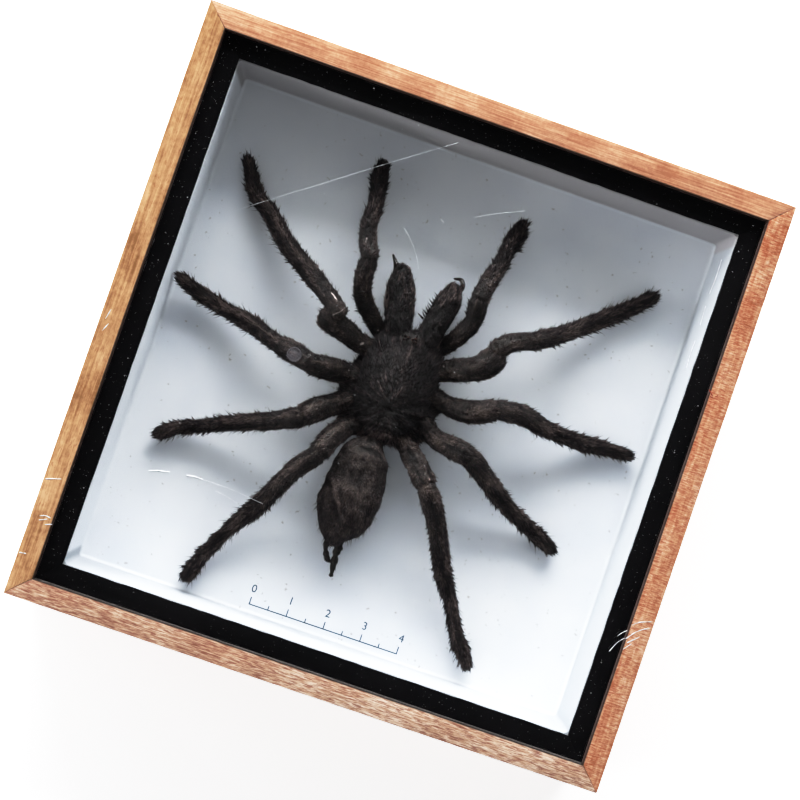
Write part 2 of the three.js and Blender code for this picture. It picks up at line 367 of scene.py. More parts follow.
def smoothStep(values, low, high):
    share = np.clip((values - low) / (high - low), 0, 1)
    return share * share * (3 - 2 * share)


def bell(values, centre, width):
    return np.exp(-(((values - centre) / width) ** 2))


def keepPiece(piece, name, finish, nodes=(), smoothAngle=None):
    applyPlace(piece)
    piece.name = piece.data.name = name
    piece.data.materials.clear()
    piece.data.materials.append(finish)
    if smoothAngle is not None:
        bpy.ops.object.shade_smooth_by_angle(angle=math.radians(smoothAngle))
    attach(piece, "root")
    if nodes:
        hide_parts(*nodes)
    return piece


def outwards(piece):
    # seams and poles closed, faces pointing out
    editAll(piece)
    bpy.ops.mesh.remove_doubles(threshold=0.001 * mm)
    bpy.ops.mesh.normals_make_consistent(inside=False)
    bpy.ops.object.mode_set(mode="OBJECT")


def strewn(name, model, roots, axes, shades=None):
    # copies of a small model as one mesh; axes holds each copy's three axes as columns, shades its tone
    corners = np.array([vertex.co for vertex in model.data.vertices])
    faces = np.array([face.vertices for face in model.data.polygons])
    count, size = len(roots), len(corners)
    places = roots[:, None, :] + np.einsum("nij,vj->nvi", axes, corners)
    every = (faces[None] + size * np.arange(count)[:, None, None]).reshape(-1, 3)
    mesh = bpy.data.meshes.new(name)
    mesh.vertices.add(count * size)
    mesh.vertices.foreach_set("co", (places * mm).ravel())
    mesh.loops.add(every.size)
    mesh.loops.foreach_set("vertex_index", every.ravel())
    mesh.polygons.add(len(every))
    mesh.polygons.foreach_set("loop_start", np.arange(0, every.size, 3))
    mesh.update(calc_edges=True)
    piece = bpy.data.objects.new(name, mesh)
    bpy.context.scene.collection.objects.link(piece)
    if shades is not None:
        setValues(piece, "shade", np.repeat(shades, size))
    return piece


railLooks = {
    "bevel": 0.14,
    "mitreGap": 0.07,
    "ringCuts": 76,
    "unevenness": 0.07,
    "slopeReach": 70,               # the tone slopes from one end to the other, this far from the middle
    "innerShadeEdge": (70.55, 70.85), "innerShadeShare": 0.97,        # painted shade on the inner faces, in the corner against the glass
    "sideShadeEdge": (75.88, 75.99), "sideShadeShare": 0.45,          # the outer sides are painted darker, as painted shade
}
woodLooks = {
    "bottomRail": {
        "node": "rail_bottom", "slot": "pink_wood", "quarter": 0,
        "dark": (158, 114, 90), "mid": (200, 171, 149), "light": (236, 219, 205), "slope": 0.05,
        "streaks": (0.14, 3.0), "clouds": 0.03, "cloudShare": 0.3,
        "pores": (0.4, 4.6), "poreFrom": 0.53, "poreTint": (138, 82, 60), "poreShare": 0.65,
        "flecks": (0.5, 1.8), "fleckShare": 0.3, "grime": (8, 5, 5),
    },
    "rightRail": {
        "node": "rail_right", "slot": "red_wood", "quarter": 1,
        "dark": (168, 100, 62), "mid": (196, 150, 118), "light": (224, 192, 170), "slope": 0.0,
        "streaks": (0.12, 1.2), "clouds": 0.1, "cloudShare": 0.24,
        "pores": (2.2, 0.7), "poreFrom": 0.55, "poreTint": (166, 100, 62), "poreShare": 0.5,
        "flecks": (2.8, 0.5), "fleckShare": 0.44, "grime": (44, 24, 20),
    },
    "topRail": {
        "node": "rail_top", "slot": "tan_wood", "quarter": 2,
        "dark": (172, 122, 89), "mid": (199, 154, 125), "light": (226, 187, 159), "slope": -0.03,
        "streaks": (0.07, 2.4), "clouds": 0.11, "cloudShare": 0.34,
        "pores": (0.3, 5.0), "poreFrom": 0.6, "poreTint": (173, 110, 79), "poreShare": 0.5,
        "flecks": (1.3, 1.0), "fleckShare": 0.16, "grime": (44, 24, 20),
    },
    "leftRail": {
        "node": "rail_left", "slot": "orange_wood", "quarter": 3,
        "dark": (146, 106, 62), "mid": (182, 145, 106), "light": (208, 172, 138), "slope": 0.0,
        "streaks": (0.06, 1.4), "clouds": 0.09, "cloudShare": 0.32,
        "pores": (0.5, 4.0), "poreFrom": 0.6, "poreTint": (156, 106, 56), "poreShare": 0.5,
        "flecks": (0.9, 0.9), "fleckShare": 0.2, "grime": (44, 24, 20),
    },
}


def woodFinish(name, looks):
    material, shader, place = startFinish(name)
    lengthwise = looks["quarter"] % 2

    def scales(along, across):
        return [along if axis == lengthwise else across for axis in range(3)]

    streaks = place.noise(scales(*looks["streaks"]), detail=5, roughness=0.62, distortion=0.15)
    clouds = place.noise([looks["clouds"]] * 3, detail=3, roughness=0.55)
    ripple = scales(*looks["flecks"])
    ripple[2] *= 3
    flecks = place.noise(ripple, detail=3, roughness=0.6)
    cloudShare, fleckShare = looks["cloudShare"], looks["fleckShare"]
    reach = railLooks["slopeReach"] * mm
    along = place.axis(lengthwise).between(-reach, reach)
    tone = streaks * (1 - cloudShare - fleckShare) + clouds * cloudShare + flecks * fleckShare
    tone = tone + (along - 0.5) * looks["slope"]
    colour = tone.tones(looks, 0.40, 0.5, 0.61)
    pores = place.noise(scales(*looks["pores"]), detail=2, roughness=0.5).between(
        looks["poreFrom"], looks["poreFrom"] + 0.05)
    colour = (pores * looks["poreShare"]).blend(colour, tint(*looks["poreTint"]))
    outer = place.axis(1 - lengthwise) * (-1, 1, 1, -1)[looks["quarter"]]
    # painted shade darkens the inner faces in the corner against the glass
    grime = 1 - outer.between(*[edge * mm for edge in railLooks["innerShadeEdge"]])
    colour = (grime * railLooks["innerShadeShare"]).blend(colour, tint(*looks["grime"]))
    # painted shade darkens the outer sides
    sideShade = outer.between(*[edge * mm for edge in railLooks["sideShadeEdge"]])
    colour = (sideShade * railLooks["sideShadeShare"]).blend(colour, tint(*looks["poreTint"]))
    height = streaks * 0.4 - pores * 0.6
    feed(shader, {
        "Base Color": colour,
        "Roughness": 0.5 + streaks * 0.2 + pores * 0.1,
        "Normal": bumped(height, 0.6, 0.12),
        "Specular IOR Level": 0.35,
    })
    return material


def modelStrip(node, looks):
    # the strip along the lower side: a beam sawn at 45 degrees at both ends
    low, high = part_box(node)
    reach = -low.y
    strip = modelBox((0, (low.y + high.y) / 2, (low.z + high.z) / 2),
                     (2 * reach, high.y - low.y, high.z - low.z))
    for side in (-1, 1):
        corner = (side * (reach - looks["mitreGap"] * mm), low.y, 0)
        cutAcross(strip, (side, 1, 0), [corner], use_fill=True, clear_outer=True)
    bevelled(strip, looks["bevel"], 3)
    cuts = looks["ringCuts"]
    cutAcross(strip, (1, 0, 0), [(reach * (2 * cut / cuts - 1), 0, 0) for cut in range(1, cuts)])
    return strip


def turnedStrip(model, name, quarter):
    strip = copied(model, name)
    strip.rotation_euler.z = quarter * math.pi / 2
    applyPlace(strip)
    return strip


def wornEdges(rail, amount):
    # corners that aren't quite straight, as sanded by hand
    places = pointsOf(rail)
    for axis in range(3):
        places[:, axis] += amount * noiseAt(places * 0.35 + 20 * axis) * (1 if axis < 2 else 0.6)
    limits = [np.array(corner) / mm for corner in cadBox]
    setPoints(rail, np.clip(places, limits[0], limits[1]))


def makeRails():
    model = modelStrip("rail_bottom", railLooks)
    for name, looks in woodLooks.items():
        rail = turnedStrip(model, name, looks["quarter"])
        wornEdges(rail, railLooks["unevenness"])
        keepPiece(rail, name, woodFinish(name + "Wood", looks), (looks["node"],), 35)
    bpy.data.objects.remove(model)


sides = ("bottom", "right", "top", "left")
paperLooks = {
    "speck": (150, 146, 140),
    "liner": {"base": (232, 236, 240), "spot": (205, 210, 216), "grain": 0.35, "rough": 0.7},
    "board": {"base": (214, 217, 222), "spot": (206, 210, 217), "grain": 0.15, "rough": 0.6,
              # the walls' tints are painted shade, one for each side
              "walls": (("X", -1, (206, 210, 216)), ("X", 1, (168, 172, 178)),
                        ("Y", -1, (164, 168, 174)), ("Y", 1, (160, 158, 160))),
              "wallRise": 0.7, "wallEdge": (61.5, 63)},
}
borderLooks = {
    "bevel": 0.05, "mitreGap": -0.01, "ringCuts": 60, "unevenness": 0.12,
    "dark": (2, 2, 3), "pale": (9, 8, 10), "dust": (120, 120, 120),
}
trayLooks = {"clearance": 0.01, "wall": 0.15, "cove": 1.2, "steps": 6}
glassLooks = {"tint": (0.985, 0.995, 0.99, 1), "bending": 1.45}


def paperFinish(name, looks):
    material, shader, place = startFinish(name)
    clouds = place.noise([0.045] * 3, detail=3, roughness=0.6).between(0.35, 0.7)
    fibres = place.noise([3.0] * 3, detail=3, roughness=0.7)
    specks = place.noise([0.9] * 3, detail=1).between(0.735, 0.76)
    colour = clouds.blend(tint(*looks["base"]), tint(*looks["spot"]))
    colour = (specks * 0.5).blend(colour, tint(*paperLooks["speck"]))
    # painted shade: each wall of the tray gets its own darker tint, rising from the board
    if "walls" in looks:
        raised = place.axis("Z").between(boardTop, boardTop + looks["wallRise"] * mm)
        for axis, sign, shade in looks["walls"]:
            beyond = (place.axis(axis) * sign).between(*[edge * mm for edge in looks["wallEdge"]])
            colour = (raised * beyond).blend(colour, tint(*shade))
    feed(shader, {
        "Base Color": colour,
        "Roughness": looks["rough"] + fibres * 0.15,
        "Normal": bumped(fibres, looks["grain"], 0.05),
        "Specular IOR Level": 0.3,
    })
    return material


def blackPaperFinish():
    material, shader, place = startFinish("blackPaper")
    fibres = place.noise([2.5] * 3, detail=4, roughness=0.7)
    clouds = place.noise([0.08] * 3, detail=3)
    dust = place.noise([2.2] * 3, detail=1, roughness=0.4).between(0.735, 0.765)
    colour = (fibres * 0.5 + clouds * 0.5).ramp(
        (0.35, tint(*borderLooks["dark"])), (0.65, tint(*borderLooks["pale"])))
    colour = (dust * 0.5).blend(colour, tint(*borderLooks["dust"]))
    feed(shader, {
        "Base Color": colour,
        "Roughness": 0.6 + fibres * 0.25,
        "Normal": bumped(fibres, 0.35, 0.04),
        "Specular IOR Level": 0.04,
    })
    return material


plywoodLooks = {
    "dark": (158, 112, 70), "mid": (193, 148, 100), "light": (216, 177, 130), "pore": (112, 72, 44),
}


def plywoodFinish():
    # its face veneer runs along X
    material, shader, place = startFinish("plywoodFace")
    figure = place.noise([0.02, 0.35, 0.35], detail=4, roughness=0.6, distortion=0.8)
    streaks = place.noise([0.06, 2.4, 2.4], detail=4, roughness=0.6)
    pores = place.noise([0.35, 6.0, 6.0], detail=2).between(0.60, 0.66)
    colour = (figure * 0.6 + streaks * 0.4).tones(plywoodLooks, 0.36, 0.5, 0.66)
    colour = (pores * 0.6).blend(colour, tint(*plywoodLooks["pore"]))
    feed(shader, {
        "Base Color": colour,
        "Roughness": 0.6 + streaks * 0.15,
        "Normal": bumped(streaks * 0.4 - pores, 0.5, 0.08),
    })
    return material


def glassFinish():
    material, shader = startFinish("clearGlass")[:2]
    feed(shader, {
        "Base Color": glassLooks["tint"],
        "Roughness": 0.0,
        "IOR": glassLooks["bending"],
        "Transmission Weight": 1.0,
    })
    return material


def makeBorder():
    # four strips of black paper under the glass, their mitres closed
    model = modelStrip("mat_bottom", borderLooks)
    black = blackPaperFinish()
    for quarter, side in enumerate(sides):
        strip = turnedStrip(model, side + "Border", quarter)
        places = pointsOf(strip)
        shift = np.stack([noiseAt(places * 0.4), noiseAt(places * 0.4 + 9)], 1)
        places[:, :2] += borderLooks["unevenness"] * shift
        setPoints(strip, places)
        keepPiece(strip, side + "Border", black, ("mat_" + side,), 35)
    bpy.data.objects.remove(model)


def makeTray():
    # the board's white paper runs on up the walls in one soft curve
    low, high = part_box("backing_board")
    half = -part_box("liner_bottom")[1].y - trayLooks["clearance"] * mm
    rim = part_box("liner_bottom")[1].z - trayLooks["clearance"] * mm
    wall = trayLooks["wall"] * mm
    tray = modelBox((0, 0, (low.z + rim) / 2), (2 * half, 2 * half, rim - low.z))
    pickParts(tray, "FACE", [face.normal.z > 0.9 for face in tray.data.polygons])
    bpy.ops.mesh.inset(thickness=wall)
    bpy.ops.mesh.extrude_region_move(TRANSFORM_OT_translate={"value": (0, 0, high.z - rim)})
    bpy.ops.object.mode_set(mode="OBJECT")
    inner = [max(abs(end.co.x), abs(end.co.y)) < half - wall / 2 for end in tray.data.vertices]
    sunk = [inside and end.co.z < high.z + wall for inside, end in zip(inner, tray.data.vertices)]
    pickParts(tray, "EDGE", [inner[one] and inner[other] and (sunk[one] or sunk[other])
                             for one, other in (edge.vertices for edge in tray.data.edges)])
    bpy.ops.mesh.bevel(offset=trayLooks["cove"] * mm, segments=trayLooks["steps"], affect="EDGES")
    bpy.ops.object.mode_set(mode="OBJECT")
    keepPiece(tray, "boardTray", paperFinish("boardPaper", paperLooks["board"]),
              ("backing_board",), 40)


def dressFlatPieces():
    liner = paperFinish("linerPaper", paperLooks["liner"])
    finishes = {"back_panel": plywoodFinish(), "glass_pane": glassFinish()}
    finishes.update({"liner_" + side: liner for side in sides})
    for name, finish in finishes.items():
        frame["nodes"][name].material_slots[0].material = finish
    frame["nodes"]["glass_pane"].visible_shadow = False   # the pane lets the light in undimmed


nailLooks = {
    "sides": 24, "head": 0.4, "dome": 0.12, "ringShare": 0.35, "shankShare": 0.46, "pointShare": 0.14,
    "tipShare": 0.25, "tint": (120, 118, 115), "worn": (168, 166, 162),
}
hangerLooks = {
    "teeth": 13, "toothDepth": 1.5, "toothReach": 13, "bevel": 0.12, "corner": 1.2, "taper": 0.22,
    "tint": (150, 152, 156), "worn": (188, 190, 193),
}


def metalFinish(name, looks, rough):
    material, shader, place = startFinish(name)
    clouds = place.noise([0.6] * 3, detail=4, roughness=0.65)
    scratches = place.noise([0.4, 9.0, 9.0], detail=3, roughness=0.7)
    colour = clouds.between(0.4, 0.62).blend(tint(*looks["tint"]), tint(*looks["worn"]))
    feed(shader, {
        "Base Color": colour,
        "Metallic": 1.0,
        "Roughness": rough + clouds * 0.2,
        "Normal": bumped(scratches, 0.25, 0.03),
    })
    return material


def modelNail(low, high):
    # a wire nail with its head towards -Z: a disc, inset, and drawn up into the shank and point
    radius = (high.x - low.x) / 2
    headDepth = nailLooks["head"] * mm
    clearSelection()
    centre = Vector(((low.x + high.x) / 2, (low.y + high.y) / 2, low.z))
    bpy.ops.mesh.primitive_cylinder_add(vertices=nailLooks["sides"], radius=radius, depth=headDepth,
                                        location=centre + Vector((0, 0, headDepth / 2)))
    nail = bpy.context.object
    applyPlace(nail)
    faces = nail.data.polygons
    faces.foreach_set("select", [face.normal.z > 0.9 for face in faces])
    bpy.ops.object.mode_set(mode="EDIT")
    bpy.ops.mesh.select_mode(type="FACE")
    shank = radius * nailLooks["shankShare"]
    length = high.z - low.z - headDepth
    point = nailLooks["pointShare"]
    bpy.ops.mesh.inset(thickness=radius - shank)
    for share in (1 - point, point):
        bpy.ops.mesh.extrude_region_move(TRANSFORM_OT_translate={"value": (0, 0, length * share)})
    bpy.ops.transform.resize(value=(nailLooks["tipShare"],) * 3, center_override=(*centre.xy, high.z))
    bpy.ops.object.mode_set(mode="OBJECT")
    faces.foreach_set("select", [face.normal.z < -0.9 for face in faces])
    bpy.ops.object.mode_set(mode="EDIT")
    for ring in range(2):
        bpy.ops.mesh.inset(thickness=radius * nailLooks["ringShare"])
    bpy.ops.object.mode_set(mode="OBJECT")
    places = pointsOf(nail)
    reach = np.hypot(places[:, 0] - centre.x / mm, places[:, 1] - centre.y / mm) * mm / radius
    rim = (places[:, 2] < low.z / mm + 0.2) & (reach > 0.9)
    places[rim, 2] += nailLooks["dome"]
    setPoints(nail, places)
    bevelled(nail, 0.05, 2, 40)
    return nail


def makeNails():
    steel = metalFinish("nailSteel", nailLooks, 0.32)
    for first, others in (("panel_nail_1", ["panel_nail_%d" % n for n in range(2, 9)]),
                          ("hanger_nail_left", ["hanger_nail_right"])):
        low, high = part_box(first)
        model = modelNail(low, high)
        for name in others:
            nail = copied(model, name)
            nail.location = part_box(name)[0] - low
            keepPiece(nail, pieceName(name), steel, (name,), 40)
        keepPiece(model, pieceName(first), steel, (first,), 40)


def pieceName(node):
    # panel_nail_1 gives panelNail1
    first, *rest = node.split("_")
    return first + "".join(word.capitalize() for word in rest)


def makeHanger():
    # a sawtooth strip: a grid whose lower edge is pulled into teeth, thickened
    low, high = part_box("hanger_plate")
    teeth = hangerLooks["teeth"]
    clearSelection()
    bpy.ops.mesh.primitive_grid_add(x_subdivisions=4 * teeth, y_subdivisions=6, size=1,
                                    location=((low.x + high.x) / 2, (low.y + high.y) / 2, high.z))
    plate = bpy.context.object
    plate.scale = (high.x - low.x, high.y - low.y, 1)
    applyPlace(plate)
    places = pointsOf(plate)
    x, y = places[:, 0], places[:, 1].copy()
    bottom, top = low.y / mm, high.y / mm
    step = (high.x - low.x) / mm / (2 * teeth)
    phase = np.abs(((x - low.x / mm) / step) % 2 - 1)
    inner = np.abs(x) < hangerLooks["toothReach"]
    y += (1 - phase) * hangerLooks["toothDepth"] * inner * (1 - (y - bottom) / (top - bottom))
    reach = hangerLooks["corner"]
    corner = np.clip(np.abs(x) - (high.x / mm - reach), 0, reach) / reach
    middle = (bottom + top) / 2
    places[:, 1] = middle + (y - middle) * (1 - hangerLooks["taper"] * corner ** 2)
    setPoints(plate, places)
    thick = plate.modifiers.new("thickness", "SOLIDIFY")
    thick.thickness = high.z - low.z
    thick.offset = -1
    applyAll(plate)
    outwards(plate)
    bevelled(plate, hangerLooks["bevel"], 2, 40)
    zinc = metalFinish("zincSheet", hangerLooks, 0.3)
    keepPiece(plate, "hangerPlate", zinc, ("hanger_plate",), 35)


# runs of stations in millimetres: x, y, z, width and, where it isn't limbRoundness times that, height
limbRoundness = 0.92
spineRuns = {
    "carapace": [(-2.8, -10, 16, 8, 6), (-2.8, -7, 16.2, 15.6, 9), (-2.6, -1, 16.3, 19.4, 10.4),
                 (-2.5, 6, 16.2, 19.8, 10.6), (-2.4, 12, 16, 18, 9.4), (-2.4, 15, 15.8, 14, 7.4)],
    "abdomen": [(-3, -12.6, 16, 5, 5), (-3.9, -16, 16.4, 11.6, 9.6), (-4, -21, 16.7, 14.4, 11.4),
                (-4.2, -28, 16.7, 15.6, 11.8), (-4.4, -33.5, 16.4, 13.8, 10.8),
                (-4.8, -37.6, 16, 8.6, 8), (-4.7, -39.4, 15.6, 4.4, 5)],
    "cheliceraLeft": [(-6.6, 14.5, 17, 6.6, 7), (-7.5, 19, 17.2, 7.6, 8.6), (-8.8, 24, 16.8, 7.7, 8.4),
                      (-9.8, 27.5, 16.2, 7.4, 7.6), (-10.4, 30.6, 15.4, 4.6, 5.4)],
    "cheliceraRight": [(1.2, 14.5, 17, 6.2, 7), (1.7, 19, 17.2, 6.8, 8.6), (2.6, 24, 16.8, 7.1, 8.4),
                       (3.4, 27.5, 16.2, 6.4, 7.6), (3.5, 30.4, 15.4, 4.2, 5.4)],
    "fangLeft": [(-11.2, 29, 14.8, 1.8), (-11.8, 30, 14.6, 1.6), (-12.6, 32, 14.4, 1.3),
                 (-14, 34, 13.4, 0.5)],
    "fangRight": [(4.2, 28.8, 14.8, 1.9), (4.6, 29.8, 14.6, 1.7), (5.4, 32, 14.4, 1.4),
                  (4.6, 33.6, 13.8, 1.1), (2.8, 33.4, 13.2, 0.5)],
    "spinneretLeft": [(-5.9, -38, 15.4, 1.8), (-6, -39.6, 15.4, 1.7), (-5.9, -42, 15, 1.5),
                      (-4.6, -44.6, 14.4, 1.4), (-3.2, -45.2, 14, 1)],
    "spinneretRight": [(-2.9, -38, 15.4, 1.9), (-2.7, -39.6, 15.4, 1.8), (-2.9, -42.5, 14.8, 2.1),
                       (-2.6, -45.4, 14.2, 1.6), (-2.2, -48.4, 13.8, 1)],
}
# joints are shares of a run's length; each is a crease with a pale ring of the given strength
limbRuns = {
    "palpLeft": {
        "thigh": [(-10.5, 14, 14, 4.4), (-14, 17, 15.6, 4.8), (-17.5, 20.5, 18.4, 4.8),
                  (-19, 25, 21, 4.9), (-19.2, 29, 22.5, 5.1)],
        "shank": [(-19.4, 30.8, 23, 4.9), (-20.5, 33, 22.2, 4.9), (-21.9, 36.3, 20.5, 4.4),
                  (-22.2, 40, 19, 4.3), (-22.3, 45, 17, 3.7), (-23.5, 50.4, 15, 4.7),
                  (-23.9, 56, 13.6, 2.8)],
        "joints": ((0.30, 0.1), (0.68, 0.1)), "kneeRing": 0.5,
    },
    "palpRight": {
        "thigh": [(4.2, 14.4, 14, 4.2), (6.8, 17, 15.6, 4.5), (8.8, 20, 18.4, 4.7),
                  (10.4, 23.8, 21, 4.9), (10.1, 28.5, 22.7, 5.5)],
        "shank": [(10, 30, 23, 5), (11, 34.6, 21, 4.9), (12.4, 39.8, 19, 4.1), (12.9, 43.5, 17.5, 4),
                  (14.2, 48.3, 15.5, 4.7), (15.1, 53, 14, 2.8)],
        "joints": ((0.30, 0.1), (0.66, 0.1)), "kneeRing": 0.5,
    },
    "legLeft1": {
        "thigh": [(-11, 9.4, 15, 5.2), (-15.5, 10, 16, 5.8), (-19.5, 11.4, 18.8, 6.6),
                  (-24.2, 13, 20.6, 6.8)],
        "shank": [(-22, 15.2, 22.6, 5), (-29.5, 20.4, 20.5, 5.1), (-41, 28, 16, 4.7),
                  (-47.5, 34, 14, 4.4), (-52, 37, 12.6, 4), (-57.4, 45.6, 11.8, 3)],
        "joints": ((0.26, 0.2), (0.50, 0.1), (0.76, 0.1)), "kneeRing": 0.9,
    },
    "legLeft2": {
        "thigh": [(-11, 2, 15, 5.4), (-16, 1.5, 16, 5.8), (-20, 1, 20, 6.2), (-24, 0.6, 22.6, 6)],
        "shank": [(-25.4, 0.8, 22.9, 5.6), (-31, 2.2, 21.5, 5.5), (-35, 3, 19.6, 4.5),
                  (-43.5, 5.6, 16, 4.4), (-48.3, 6.4, 14.5, 3.7), (-55.8, 8.1, 13.4, 3.9),
                  (-63.8, 10.8, 15, 2.8)],
        "joints": ((0.25, 0.2), (0.50, 0.1), (0.74, 0.1)), "kneeRing": 0.2,
    },
    "legLeft3": {
        "thigh": [(-11, -4, 15, 5.2), (-15.5, -6.8, 16, 5.9), (-19, -9.3, 20, 6.5),
                  (-21.5, -11.8, 22.7, 6.2)],
        "shank": [(-23, -13, 22.9, 5.6), (-30.2, -16.5, 19.5, 4.8), (-38.3, -19.8, 16, 3.9),
                  (-44.3, -22.6, 14, 3.3), (-50.8, -25.4, 12.5, 3.5), (-55, -28.2, 12, 3.6),
                  (-57, -29.3, 11.8, 2.6)],
        "joints": ((0.24, 0.3), (0.48, 0.1), (0.74, 0.1)), "kneeRing": 0.2,
    },
    "legLeft4": {
        "thigh": [(-7.4, -8.4, 15, 5), (-11, -11.5, 16, 5.5), (-13.8, -15.5, 20, 6), (-15.2, -19, 22.6, 6)],
        "shank": [(-15.8, -20.5, 22.9, 5.5), (-20, -26.2, 21.5, 5), (-23.8, -34, 18, 4.8),
                  (-26.8, -39.6, 16, 4.7), (-30.4, -45.3, 14, 3.5), (-34.6, -54, 12.5, 3.4),
                  (-36.2, -58.7, 12, 3.9), (-37, -62, 11.8, 2.6)],
        "joints": ((0.22, 0.2), (0.45, 0.4), (0.78, 0.1)), "kneeRing": 0.15,
    },
    "legRight1": {
        "thigh": [(5.4, 9, 15, 5.2), (9.6, 10.8, 16.4, 6.2), (13, 12, 19.4, 6.5), (16.4, 14, 21.6, 7),
                  (18.6, 16.8, 22, 7)],
        "shank": [(18.4, 19.4, 22.8, 5.6), (21.5, 22.1, 22.4, 5), (28, 25.2, 20, 4.8),
                  (36.2, 31, 16, 4.3), (42.5, 36.3, 14, 4.4), (48.5, 41.5, 12.6, 4), (54, 46.8, 11.8, 2.8)],
        "joints": ((0.24, 0.3), (0.50, 0.2), (0.76, 0.1)), "kneeRing": 0.3,
    },
    "legRight2": {
        "thigh": [(6, 3.4, 15, 5.2), (11, 2.2, 16, 5.2), (15, 1.9, 19, 5.8), (19.2, 3, 22, 6.4),
                  (22, 4.4, 22.8, 6)],
        "shank": [(23.5, 5.2, 23, 5.4), (31, 5.7, 20, 5.3), (36, 4.7, 17.8, 4.8), (40.5, 4.3, 16, 3.9),
                  (47.6, 4.3, 13.6, 4.2), (52.2, 4.7, 12.5, 3.9), (61.4, 5.4, 11.8, 2.8)],
        "joints": ((0.24, 0.3), (0.46, 0.2), (0.74, 0.1)), "kneeRing": 0.2,
    },
    "legRight3": {
        "thigh": [(5.6, -3.6, 15, 5), (10.6, -6.5, 16.3, 5.2), (14.4, -7.5, 19.5, 5.6),
                  (18.1, -8, 22.2, 6), (20, -8.4, 22.8, 5.9)],
        "shank": [(21.5, -9, 23, 5.6), (26.3, -12, 20, 5.2), (32, -16, 16.5, 4.3),
                  (36.4, -18.4, 14.6, 3.7), (42, -20.8, 12.8, 3.7), (46.3, -22.8, 12, 4),
                  (50.2, -24.5, 11.8, 2.6)],
        "joints": ((0.24, 0.3), (0.48, 0.2), (0.76, 0.1)), "kneeRing": 0.2,
    },
    "legRight4": {
        "thigh": [(2.4, -8.4, 15, 5), (6, -12, 16, 5.3), (9.2, -15, 19.5, 6), (12, -18, 22.3, 6)],
        "shank": [(13.2, -19.5, 22.8, 5.6), (17.3, -25.4, 21, 5.4), (20, -30, 19, 4.7),
                  (24, -38, 16, 4.7), (29, -45.4, 13.8, 3.4), (32.8, -52.4, 12.5, 3.5),
                  (35.7, -55.9, 12, 3.9), (39, -60, 11.8, 2.6)],
        "joints": ((0.24, 0.3), (0.47, 0.3), (0.77, 0.1)), "kneeRing": 0.2,
    },
}
limbLooks = {
    "step": 0.8, "sides": 12, "levels": 2, "tipCut": 1.5,
    "slim": 0.93,          # the skin lies a little inside the solid, for the fur to fill
    "furrow": 0.10, "wrinkle": 0.08, "crease": 0.07, "collar": 0.025,
}
# bare membrane patches with painted highlights: both ends, width and strength
glintHighlights = (
    ((-14.3, 9.5), (-13.8, 9.9), 0.34, 0.9), ((-11.5, 14.2), (-11.2, 14.4), 0.22, 0.8),
    ((-15.1, 2.3), (-14.9, 2.2), 0.18, 0.8), ((7.2, 11.1), (7.4, 10.9), 0.18, 0.7),
    ((-25.4, 19.0), (-23.4, 17.6), 0.24, 0.7), ((-21.6, 34.8), (-21.4, 33.6), 0.18, 0.6),
    ((10.2, 34.4), (10.4, 33.5), 0.15, 0.6),
)


def smoothRun(stations, step):
    # a smooth run through the stations, a row about every step millimetres
    rows = np.array([(*s[:4], s[4] if len(s) > 4 else s[3] * limbRoundness) for s in stations], float)
    rows = np.vstack([2 * rows[0] - rows[1], rows, 2 * rows[-1] - rows[-2]])
    fine = []
    for a, b, c, d in zip(rows, rows[1:], rows[2:], rows[3:]):
        count = max(2, round(float(np.linalg.norm(c[:3] - b[:3])) / step))
        for t in np.linspace(0, 1, count, endpoint=False):
            fine.append(0.5 * (2 * b + (c - a) * t + (2 * a - 5 * b + 4 * c - d) * t ** 2
                               + (3 * b - a - 3 * c + d) * t ** 3))
    return np.array(fine + [rows[-2]])


def roundedRun(run, startReach, endReach):
    # the run with both ends drawn out to a round tip; reaches are shares of the width there
    parts = []
    for rows, reach in ((run[1::-1], startReach), (run[-2:], endReach)):
        way = rows[1, :3] - rows[0, :3]
        way = way / np.linalg.norm(way)
        cap = []
        for angle in np.radians((25, 48, 66, 80, 88)):
            row = rows[1].copy()
            row[:3] += way * math.sin(angle) * reach * rows[1, 3]
            row[3:] *= math.cos(angle)
            cap.append(row)
        parts.append(np.array(cap))
    return np.vstack([parts[0][::-1], run, parts[1]])


def guideOf(run):
    ways = np.gradient(run[:, :3], axis=0)
    ways /= np.linalg.norm(ways, axis=1)[:, None]
    lengths = np.concatenate([[0], np.cumsum(np.linalg.norm(np.diff(run[:, :3], axis=0), axis=1))])
    return {"places": run[:, :3], "ways": ways, "lengths": lengths, "flatness": run[:, 4] / run[:, 3]}


def drawTube(name, run, sides, levels):
    # a path with a round bevel, as thick as the run says, made a mesh and smoothed
    clearSelection()
    bpy.ops.curve.primitive_nurbs_path_add()
    path = bpy.context.object
    path.data.splines.clear()
    spline = path.data.splines.new("POLY")
    spline.points.add(len(run) - 1)
    for point, row in zip(spline.points, run):
        point.co = (*(row[:3] * mm), 1)
        point.radius = row[3] / 2
    path.data.bevel_depth = mm
    path.data.bevel_resolution = sides // 2 - 2
    path.data.use_fill_caps = True
    bpy.ops.object.convert(target="MESH")
    tube = bpy.context.object
    tube.name = name
    outwards(tube)
    if levels:
        subdivided(tube, levels)
    return tube


def nearest(points, places):
    found = np.empty(len(points), int)
    for first in range(0, len(points), 4000):
        part = points[first:first + 4000]
        found[first:first + 4000] = ((part[:, None] - places[None]) ** 2).sum(2).argmin(1)
    return found


